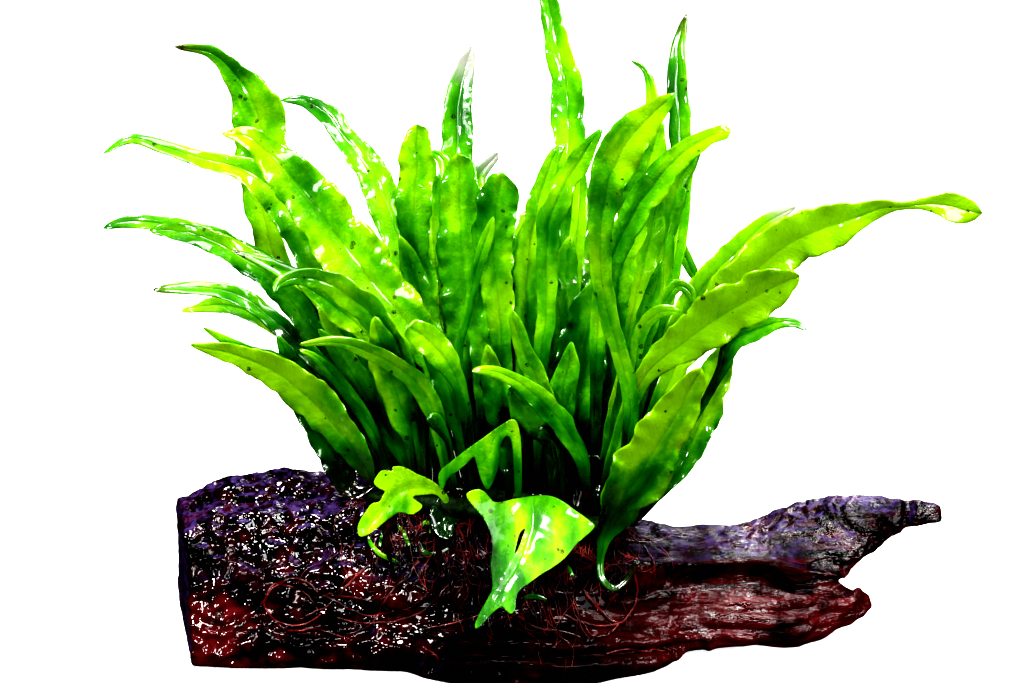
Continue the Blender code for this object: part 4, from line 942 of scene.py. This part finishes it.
# Painted shade and light by height: fronds are painted darker low in the clump and lighter near its top.
crown = skin.math("MULTIPLY_ADD", place_split.outputs["Z"], 11.0, -1.16)
crown = skin.math("MINIMUM", skin.math("MAXIMUM", crown, -0.70), 0.10)
strong = skin.math("MULTIPLY_ADD", crown, -0.8, 1.62)
lush_and_light = skin.math("MULTIPLY_ADD", skin.math("SUBTRACT", clouds, 0.5), strong, 0.25)
lush_and_light = skin.math("ADD", lush_and_light, skin.math("MULTIPLY", age_and_light, 0.50))
lush_and_light = skin.math("ADD", lush_and_light, crown)
green = skin.ramp(lush_and_light, (0.16, (0.001, 0.022, 0.0)), (0.40, (0.016, 0.165, 0.0)), (0.62, (0.092, 0.40, 0.0)),
                  (0.86, (0.335, 0.72, 0.0)))
veins_split = skin.node("SeparateXYZ")
skin.feed(veins_split.inputs[0], vein_map)
ribs = skin.math("PINGPONG", veins_split.outputs["Y"], 0.5)
rib_line = skin.ramp(ribs, (0.0, 1.0), (0.09, 0.0))
net = skin.cells(flat, 0.62, "DISTANCE_TO_EDGE")
net_line = skin.ramp(net, (0.0, 1.0), (0.07, 0.0))
lines = skin.math("ADD", skin.math("MULTIPLY", rib_line, 0.10), skin.math("MULTIPLY", net_line, 0.08))
midrib_line = skin.ramp(skin.math("MULTIPLY", veins_split.outputs["X"], 1000.0), (0.0, 1.0), (0.55, 0.0))
lines = skin.math("ADD", lines, skin.math("MULTIPLY", midrib_line, 0.22))
veined = skin.mix(lines, green, (0.002, 0.10, 0.0))
veined = skin.mix(skin.math("MULTIPLY", skin.ramp(mottle, (0.52, 0.0), (0.70, 1.0)),
                            skin.ramp(lush_and_light, (0.4, 0.0), (0.7, 0.45))), veined, (0.37, 0.83, 0.0))
far_spots = skin.cells(flat, 0.23, "F1", 1.0)
spot_size = skin.noise(flat, 0.16, 2.0, 0.5)
spot = skin.math("LESS_THAN", far_spots, skin.math("MULTIPLY_ADD", spot_size, 0.70, -0.27))
ragged = skin.ramp(skin.noise(flat, 2.4, 3.0, 0.7), (0.40, 0.0), (0.52, 1.0))
spotted = skin.mix(skin.math("MULTIPLY", spot, ragged), veined, (0.030, 0.008, 0.004))
stalk_part = skin.ramp(at, (0.02, 1.0), (0.20, 0.0))
stalked = skin.mix(skin.math("MULTIPLY", stalk_part, 0.85), spotted, (0.035, 0.085, 0.004))
# Painted shade at the foot of the clump: stalks low down are painted near-black red-brown.
foot_shade = skin.ramp(skin.math("MULTIPLY", place_split.outputs["Z"], 10.0), (0.54, 0.9), (0.68, 0.0))
foot_shade = skin.math("MULTIPLY", foot_shade, skin.ramp(at, (0.10, 1.0), (0.22, 0.0)))
stalked = skin.mix(foot_shade, stalked, skin.ramp(mottle, (0.45, (0.001, 0.0005, 0.0002)), (0.68, (0.05, 0.004, 0.003))))
tip_part = skin.math("MAXIMUM", skin.math("MULTIPLY", skin.ramp(at, (0.93, 0.0), (0.985, 1.0)), burnt), 0.0)
tipped = skin.mix(skin.math("MULTIPLY", tip_part, skin.ramp(mottle, (0.30, 0.35), (0.6, 1.0))), stalked,
                  (0.055, 0.016, 0.006))
bleached = skin.math("MULTIPLY", skin.ramp(at, (0.90, 0.0), (0.96, 0.85)), skin.math("MULTIPLY", burnt, -1.0))
tipped = skin.mix(skin.math("MAXIMUM", bleached, 0.0), tipped, (0.56, 0.51, 0.50))
skin.set("Base Color", tipped)
skin.set("Roughness", skin.ramp(mottle, (0.3, 0.22), (0.75, 0.42)))
skin.set("Specular IOR Level", 0.12)
skin.set("Coat Weight", 1.0)
skin.set("Coat Roughness", 0.11)
skin.set("Coat IOR", 1.85)
skin.set("Subsurface Weight", 0.0)
relief = skin.math("SUBTRACT", skin.math("MULTIPLY", skin.noise(flat, 1.1, 3.0, 0.6), 0.6), lines)
skin.bump(relief, 0.0004, 0.9)

THICK = np.linspace(STALK_THICKNESS, BLADE_THICKNESS, BLADE_ROWS)
ALONG = np.linspace(0.0, 1.0, BLADE_ROWS)
rooms = []


def hanging_depth(x, h, row):
    """How far back a hanging frond lies here: out from the stems, then down, and domed."""
    (x0, h0), start, reach, far, middle = row[1:6]
    share = np.hypot(x - x0, h - h0) / far
    return start + reach * share ** 0.75 + 0.010 * (x - middle) ** 2


def within(x, h, edge):
    """Whether a point lies inside a closed outline."""
    crossings = 0
    for (x0, h0), (x1, h1) in zip(edge, edge[1:] + edge[:1]):
        if (h0 > h) != (h1 > h) and x < x0 + (h - h0) / (h1 - h0) * (x1 - x0):
            crossings += 1
    return crossings % 2 == 1


broad_skin = skin.material.copy()
broad_skin.node_tree.nodes["Principled BSDF"].inputs["Coat Weight"].default_value = 0.25
broad_skin.node_tree.nodes["Principled BSDF"].inputs["Specular IOR Level"].default_value = 0.2
RIBS = {
    "front_01": ((5, -48), (6.5, -55), (5.5, -62), (2.5, -70), (-2, -78), (-8, -88)),
    "front_02": ((2, -50), (1.8, -38), (1.5, -30), (-2, -27.6), (-6, -31), (-7.5, -38), (-8, -46)),
    "front_06": ((-21, -51), (-24, -47.5), (-30, -46.5), (-36, -48), (-40, -52), (-47, -60)),
}
for row in HANGING:
    name, edge, slit = row[0], row[6], row[7]
    curve = bpy.data.curves.new(name, "CURVE")
    curve.dimensions = "2D"
    curve.fill_mode = "BOTH"
    curve.extrude = 10 * MM
    curve.resolution_u = 5
    for outline in (edge, slit):
        if outline:
            spline = curve.splines.new("NURBS")
            spline.points.add(len(outline) - 1)
            spline.order_u = 3
            spline.use_cyclic_u = True
            for point, (x, h) in zip(spline.points, outline):
                point.co = (x * MM, h * MM, 0.0, 1.0)
    drawn = bpy.data.objects.new("drawn", curve)
    scene.collection.objects.link(drawn)
    prism_mesh = modified(drawn)
    work = bmesh.new()
    work.from_mesh(prism_mesh)
    bmesh.ops.remove_doubles(work, verts=work.verts, dist=0.00001)
    bmesh.ops.recalc_face_normals(work, faces=work.faces)
    work.to_mesh(prism_mesh)
    work.free()
    prism = bpy.data.objects.new("prism", prism_mesh)
    scene.collection.objects.link(prism)
    low, high = np.min(edge, axis=0), np.max(edge, axis=0)
    size = float((high - low).max()) / 2 + 2.0
    middle = (low + high) / 2
    steps = int(size * 2 / 0.62)
    sheet_mesh = bpy.data.meshes.new("sheet")
    work = bmesh.new()
    bmesh.ops.create_grid(work, x_segments=steps, y_segments=steps, size=size * MM)
    bmesh.ops.translate(work, verts=work.verts, vec=(middle[0] * MM, middle[1] * MM, 0.0))
    work.to_mesh(sheet_mesh)
    work.free()
    sheet = bpy.data.objects.new("sheet", sheet_mesh)
    scene.collection.objects.link(sheet)
    solid = sheet.modifiers.new("thickness", "SOLIDIFY")
    solid.thickness = 0.45 * MM
    solid.offset = 0.0
    trim = sheet.modifiers.new("trim", "BOOLEAN")
    trim.operation = "INTERSECT"
    trim.solver = "EXACT"
    trim.object = prism
    blade = modified(sheet)
    for extra in (drawn, prism, sheet):
        bpy.data.objects.remove(extra, do_unlink=True)
    spots = points_of(blade) / MM
    rib = curved([(x, h, 0) for x, h in RIBS[name]], 80)[:, :2]
    pace = np.hypot(*(rib[1] - rib[0]))
    away = np.hypot(spots[:, None, 0] - rib[None, :, 0], spots[:, None, 1] - rib[None, :, 1])
    nearest = away.argmin(axis=1)
    course = np.gradient(rib, axis=0)
    gap = spots[:, :2] - rib[nearest]
    offset = np.sign(gap[:, 0] * course[nearest, 1] - gap[:, 1] * course[nearest, 0]) * away.min(axis=1)
    mm_along = nearest * pace
    vein = (mm_along - np.abs(offset) * 0.8 + np.where(offset < 0, 0.0, VEIN_STEP / 2)) / VEIN_STEP
    dimples = np.array([0.5 * noise.noise(Vector((x / 3.0, h / 3.0, 7.0))) + noise.noise(Vector((x / 9, h / 9, 2.0)))
                        for x, h, thick in spots])
    deep = np.array([hanging_depth(x, h, row) for x, h, thick in spots]) + spots[:, 2] + 0.35 * dimples
    deep += 0.55 * np.exp(-((offset / 1.3) ** 2))
    placed = toward(spots[:, :2], deep)
    blade.vertices.foreach_set("co", (placed * MM).ravel())
    blade.update()
    loops = np.empty(len(blade.loops), dtype=int)
    blade.loops.foreach_get("vertex_index", loops)
    flat_uv = spots[:, :2] * MM
    vein_uv = np.stack([np.abs(offset) * MM, vein], axis=1)
    for layer_name, values in (("blade", flat_uv), ("veins", vein_uv)):
        layer = blade.uv_layers.new(name=layer_name)
        layer.data.foreach_set("uv", values[loops].ravel())
    colours = blade.color_attributes.new("tone", "FLOAT_COLOR", "POINT")
    packed = np.tile((0.5, AGES_AND_LIGHT[name], 0.0, 1.0), (len(spots), 1))
    colours.data.foreach_set("color", packed.ravel())
    smooth(blade)
    blade.name = "frond_%s_blade" % name
    blade.materials.clear()
    blade.materials.append(broad_skin)
    piece = mesh_object("frond_%s_blade" % name, blade)
    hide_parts("frond_" + name)
    room = {}
    for x in np.arange(math.floor(low[0]), high[0] + 1, LAY_CELL):
        for h in np.arange(math.floor(low[1]), high[1] + 1, LAY_CELL):
            if within(x, h, edge):
                room[(round(x / LAY_CELL), round(h / LAY_CELL))] = float(hanging_depth(x, h, row)) + 0.5
    rooms.append((-1.2, room))

laid = {}
for place, room in rooms:
    for key, high in room.items():
        laid[key] = max(laid.get(key, -1e9), high)
for order, (name, place, base, points) in enumerate(sorted(FRONDS, key=lambda row: row[1])):
    start = stalk_start(base, place)
    points = [(start[0], start[1], 2.0), *points]
    midrib, length = through(points, BLADE_ROWS)
    width = np.maximum(midrib[:, 2], 1.2)
    roll = BLADE_ROLL * (1 if order % 2 else -1)
    turned = np.stack([-width / 2, 0 * width, width / 2], axis=1) * math.tan(roll)
    wanted = (start[2] + place * LEAN * length * ALONG ** 1.35)[:, None] + turned
    grid = across(midrib[:, :2], width)
    depth = lay(grid, wanted, laid)
    room = room_of(grid, depth)
    rooms.append((place, room))
    for key, high in room.items():
        laid[key] = max(laid.get(key, -1e9), high)
    age_and_light = AGES_AND_LIGHT.get(name, 0.55)
    mesh = blade_mesh("frond_%s_blade" % name, [blade_parts(points, depth, 11 + order)], age_and_light,
                      1.0 if name in BURNT else -1.0 if name in BLEACHED else 0.0)
    mesh.materials.append(skin.material)
    piece = mesh_object("frond_%s_blade" % name, mesh)
    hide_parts("frond_" + name)


# Smaller and deeper fronds: young blades between the long ones, and the broad ones that fill the middle of the clump,
# painted dark as painted shade, grown and fixed like the others.
SMALL = (
    ("young_01", -0.7, -38, ((-45, -28, 4), (-52, -17, 4.5), (-58, -10, 4), (-63, -5, 2.5), (-68, -2.5, 1.2))),
    ("young_02", 0.16, -21, ((-23, 10, 5), (-25, 30, 7), (-25, 42, 7), (-24, 50, 5), (-23, 54, 1.5))),
    ("young_03", -0.12, 12, ((14, -10, 6), (16, 8, 8), (17, 20, 8), (17.5, 28, 6), (19, 34, 1.5))),
    ("young_04", -0.45, -3, ((-3, -35, 4), (-4, -24, 8), (-5.5, -15, 9), (-7, -7, 6), (-8, -1, 1.2))),
    ("young_05", -0.5, 33, ((38, -20, 3), (39.5, -5, 4), (41.5, 4, 4.5), (46, 9, 4.5), (50, 10, 3.5), (54, 9.5, 1.5))),
    ("young_06", -0.7, -40, ((-70, -10, 4), (-85, -3, 4), (-92, 0.5, 3), (-99, 4.5, 0.8))),
    ("young_07", 0.34, -20, ((-20, 35, 5), (-20.5, 50, 5), (-22, 58, 4), (-27, 61.5, 1.5))),
    ("young_08", 0.05, 16, ((18, 0, 5), (20, 25, 5.5), (21.5, 40, 5), (22, 50, 4.5), (21.5, 58, 1.2))),
    ("young_09", 0.35, 30, ((40, 10, 4), (46, 30, 4), (50, 37, 4), (54, 30, 4), (58, 22, 3.5), (62, 17, 1.2))),
    ("young_10", -0.4, 27, ((27, -35, 2), (27.5, -26, 2.5), (28, -17, 1.2))),
    ("young_11", 0.05, 40, ((47, 5, 4), (49, 13, 4), (53, 18, 4), (57, 16, 3.5), (58, 12, 1.2))),
    ("young_12", -0.8, 27, ((27, -50, 2), (28, -43, 3), (26.5, -38.5, 4.5), (24, -41, 4.5), (23, -45.5, 1.2))),
    ("young_13", -0.35, -16, ((-20, -25, 5), (-24, -5, 8), (-29, 12, 9), (-33, 26, 6), (-36, 34, 1.2))),
    ("young_14", -0.3, -22, ((-28, -25, 5), (-36, -8, 9), (-44, 8, 11), (-52, 20, 7), (-58, 27, 1.2))),
    ("young_15", -0.25, -8, ((-8, -30, 5), (-9, -10, 8), (-9, 8, 10), (-8, 24, 8), (-7, 34, 1.2))),
    ("young_16", -0.5, -30, ((-36, -35, 5), (-43, -24, 8), (-50, -12, 9), (-56, -3, 6), (-62, 4, 1.2))),
    ("young_17", -0.5, -14, ((-15, -35, 5), (-18, -24, 8), (-21, -13, 9), (-25, -4, 7), (-28, 1, 1.2))),
    ("young_18", -0.55, 13, ((13, -38, 5), (14, -28, 8), (16, -18, 9), (18, -8, 7), (19, 0, 1.2))),
    ("young_19", -0.8, -18, ((-20, -34, 2), (-22, -29, 3.5), (-24.5, -25.5, 5), (-27, -24, 3))),
    ("young_20", -0.7, 20, ((22, -40, 5), (18, -33, 9), (11, -26, 13), (4, -20, 11), (-1, -15, 5))),
    ("young_21", -0.88, 16, ((16, -38, 2), (15, -32, 2.6), (11.5, -28.4, 3.4), (8.6, -27.6, 1.2))),
    ("young_22", -0.95, -16, ((-17, -49, 5), (-20, -53, 9), (-22, -58, 9), (-20, -63, 3))),
    ("young_23", -0.5, 30, ((33, -35, 5), (35, -22, 6), (39, -8, 8), (43, 6, 8), (46, 18, 5), (48, 26, 1.2))),
    ("young_25", -0.85, -1, ((-1, -44, 3.5), (-0.9, -39, 6.5), (-0.6, -34, 8), (-0.4, -30, 7), (-0.4, -27.5, 2))),
    ("young_26", -0.2, 17, ((17.6, -46, 4), (17.8, -40, 8), (18, -30, 8), (18, -18, 6), (18.5, -10, 1.2))),
    ("young_24", -0.65, -26, ((-28, -38, 5), (-33, -26, 9), (-38, -14, 11), (-42, -2, 9), (-44, 8, 2))),
)
# Stalk ends and torn bits of leaf that cling to the wood below the stems: (x, h, width) as seen
CLINGING = (
    ((-46, -61.0, 0.9), (-45.3, -64.5, 1.3), (-42.5, -67.8, 1.5), (-39, -69.6, 1.4), (-36.6, -70.6, 1.0)),
    ((-41, -59.5, 1.0), (-41.6, -62.5, 1.3), (-42.5, -65.8, 1.0)),
    ((-29.6, -60, 1.0), (-28.2, -58, 1.2), (-26.4, -58.6, 1.2), (-25.8, -62, 1.0)),
    ((-30, -64, 1.0), (-28, -67.4, 1.3), (-24, -67.8, 1.2), (-20, -66, 0.9)),
    ((-36.8, -58.5, 1.0), (-34.6, -61.5, 1.3), (-32.8, -65.5, 1.0)),
    ((3, -82.4, 0.8), (5.5, -81.6, 1.8), (8.5, -81.8, 1.7), (11.2, -82.8, 0.8)),
    ((17.2, -71, 0.9), (18.2, -73, 1.7), (19.6, -75.2, 0.9)),
    ((26.4, -62.4, 0.9), (28.8, -64.6, 1.5), (29.6, -68, 0.9)),
)
DEEP_COUNT = 46
deep = []
draw = np.random.default_rng(8)
for index in range(DEEP_COUNT):
    t = (index + draw.uniform(0.1, 0.9)) / DEEP_COUNT
    base = -42.0 + 78.0 * t
    tip_x = base * 1.18 + draw.uniform(-6, 6)
    crown = 44.0 - 0.021 * (tip_x + 3.0) ** 2
    tip_h = crown * draw.uniform(0.45, 1.0) + (-8.0 if index % 3 == 0 else 0.0)
    bend = draw.uniform(-4, 4)
    wide = draw.uniform(10.0, 14.0)
    start_h = -46.0
    row = []
    for share, fat in ((0.12, 0.62), (0.35, 0.9), (0.6, 1.0), (0.82, 0.75), (1.0, 0.12)):
        row.append((base + (tip_x - base) * share ** 1.2 + bend * math.sin(3.0 * share),
                    start_h + (tip_h - start_h) * share, wide * fat))
    deep.append(("deep_%02d" % (index + 1), draw.uniform(-0.22, 0.5), base, tuple(row)))
small_meshes = {"young": [], "deep": []}
for order, (name, place, base, points) in enumerate(SMALL + tuple(sorted(deep, key=lambda row: row[1]))):
    start = stalk_start(base, place)
    points = [(start[0], start[1], 2.0), *points]
    midrib, length = through(points, BLADE_ROWS)
    width = np.maximum(midrib[:, 2], 1.2)
    roll = BLADE_ROLL * (1 if order % 2 else -1)
    turned = np.stack([-width / 2, 0 * width, width / 2], axis=1) * math.tan(roll)
    wanted = (start[2] + place * LEAN * length * ALONG ** 1.35)[:, None] + turned
    grid = across(midrib[:, :2], width)
    before = {}
    for other, room in rooms:
        if other < place:
            for key, high in room.items():
                before[key] = max(before.get(key, -1e9), high)
    depth = lay(grid, wanted, before)
    depth = np.where(depth > 12.0, 12.0 + 0.55 * (depth - 12.0), depth)
    rooms.append((place, room_of(grid, depth)))
    kind = name[: name.index("_")]
    fineness = (44, 9) if kind == "deep" else (70, 15)
    small_meshes[kind].append(blade_parts(points, depth, 200 + order, *fineness))
clinging = []
for order, points in enumerate(CLINGING):
    midrib, length = through(points, BLADE_ROWS)
    grid = across(midrib[:, :2], np.maximum(midrib[:, 2], 1.2))
    depth = np.zeros(grid.shape[:2])
    for i, j in np.ndindex(*depth.shape):
        goal = toward(grid[i, j], 0.0)
        spot, normal, face, gap = wood_ground.ray_cast(Vector(EYE * MM), Vector(goal - EYE).normalized())
        depth[i, j] = spot[1] / MM - 0.9 if spot is not None else depth[i - 1, j]
    depth[:] = np.minimum(depth.min(axis=1)[:, None], depth.mean(axis=1)[:, None])
    clinging.append(blade_parts(points, depth, 400 + order, 30, 7))
small_meshes["clinging"] = clinging
# Painted shade: the deep fronds in the middle of the clump are given a dark tone.
for kind, age_and_light in (("young", 0.75), ("deep", 0.3), ("clinging", 1.9)):
    parts_of = 3 if kind == "deep" else 1
    for share in range(parts_of):
        strips = small_meshes[kind][share::parts_of]
        mesh = blade_mesh("%s_fronds_%d" % (kind, share + 1), strips, age_and_light, 0.0)
        mesh.materials.append(skin.material)
        piece = mesh_object("%s_fronds_%d" % (kind, share + 1), mesh)


# The floor is one pale sheet that sweeps up behind, under soft light.
sweep = [(-3.0, -0.0003)] + [(1.9 + 0.9 * math.sin(a), 0.8997 - 0.9 * math.cos(a))
                             for a in np.linspace(0.0, math.pi / 2, 24)] + [(2.8, 3.0)]
floor_mesh = bpy.data.meshes.new("floor")
floor_mesh.from_pydata([(x, y, z) for y, z in sweep for x in (-4.0, 4.0)], [],
                       [(2 * i, 2 * i + 1, 2 * i + 3, 2 * i + 2) for i in range(len(sweep) - 1)])
smooth(floor_mesh)
floor = bpy.data.objects.new("floor", floor_mesh)
papers = bpy.data.collections.new("papers")
scene.collection.children.link(papers)
papers.objects.link(floor)
floor.visible_diffuse = False
floor.visible_glossy = False
paper = Paint("pale_floor")
paper.set("Base Color", (0.9, 0.9, 0.9))
paper.set("Roughness", 0.9)
paper.set("Emission Color", (1.0, 1.0, 1.0))
paper.set("Emission Strength", 0.72)
floor_mesh.materials.append(paper.material)


def lamp(name, place, aim, size, power, colour=(1.0, 1.0, 1.0)):
    light = bpy.data.lights.new(name, "AREA")
    light.size = size
    light.energy = power
    light.color = colour
    thing = bpy.data.objects.new(name, light)
    scene.collection.objects.link(thing)
    thing.location = place
    thing.rotation_euler = (Vector(aim) - Vector(place)).to_track_quat("-Z", "Y").to_euler()
    return thing


lamp("key", (-0.30, -0.45, 1.02), (0.0, 0.0, 0.10), 0.22, 15.5)
lamp("top", (0.15, 0.20, 1.15), (0.0, 0.0, 0.10), 0.35, 9.0)
lamp("rear", (0.25, 0.95, 0.75), (0.0, 0.0, 0.08), 0.40, 9.0)
lamp("right", (0.75, -0.45, 0.70), (0.0, 0.0, 0.10), 0.25, 8.0)
for index, place in enumerate(((-0.55, -0.80, 0.30), (0.30, -0.90, 0.55), (-0.15, -1.0, 0.22))):
    lamp("glint_%d" % index, place, (0.0, 0.0, 0.06), 0.10, 3.2)
lamp("sweep", (0.0, 0.3, 2.6), (0.0, 0.3, 0.0), 2.4, 90.0).light_linking.receiver_collection = papers
wet_only = bpy.data.collections.new("wet_only")
scene.collection.children.link(wet_only)
wet_only.objects.link(driftwood)
lamp("sheen", (0.62, -0.90, 0.42), (0.09, 0.0, 0.02), 0.55, 15.0).light_linking.receiver_collection = wet_only
leaves_only = bpy.data.collections.new("leaves_only")
scene.collection.children.link(leaves_only)
for thing in list(scene.objects):
    if "frond" in thing.name:
        leaves_only.objects.link(thing)
for name, place in (("gloss_low", (0.55, -0.80, 0.18)), ("gloss_high", (0.45, -0.80, 0.60))):
    gloss = lamp(name, place, (0.0, 0.0, 0.12), 0.40, 3.6)
    gloss.light_linking.receiver_collection = leaves_only
    gloss.visible_diffuse = False
world = bpy.data.worlds.new("world")
scene.world = world
world.use_nodes = True
tree = world.node_tree
back = tree.nodes["Background"]
path = tree.nodes.new("ShaderNodeLightPath")
strength = tree.nodes.new("ShaderNodeMapRange")
strength.inputs["To Min"].default_value = 0.035
strength.inputs["To Max"].default_value = 1.05
tree.links.new(path.outputs["Is Camera Ray"], strength.inputs["Value"])
tree.links.new(strength.outputs["Result"], back.inputs["Strength"])
back.inputs["Color"].default_value = (1.0, 1.0, 1.0, 1.0)
scene.view_settings.view_transform = "Standard"
scene.view_settings.look = "Medium High Contrast"
scene.view_settings.use_curve_mapping = True
grade = scene.view_settings.curve_mapping
for at, value in ((0.025, 0.003), (0.08, 0.038), (0.25, 0.20), (0.6, 0.58)):
    grade.curves[3].points.new(at, value)
grade.update()

camera = bpy.data.cameras.new("camera")
camera.sensor_width = 36.0
camera.lens = 36.0 * VIEW_DISTANCE / 327.68
viewer = bpy.data.objects.new("camera", camera)
scene.collection.objects.link(viewer)
viewer.location = EYE * MM
viewer.rotation_euler = (math.pi / 2 - VIEW_ELEVATION, 0.0, 0.0)
scene.camera = viewer
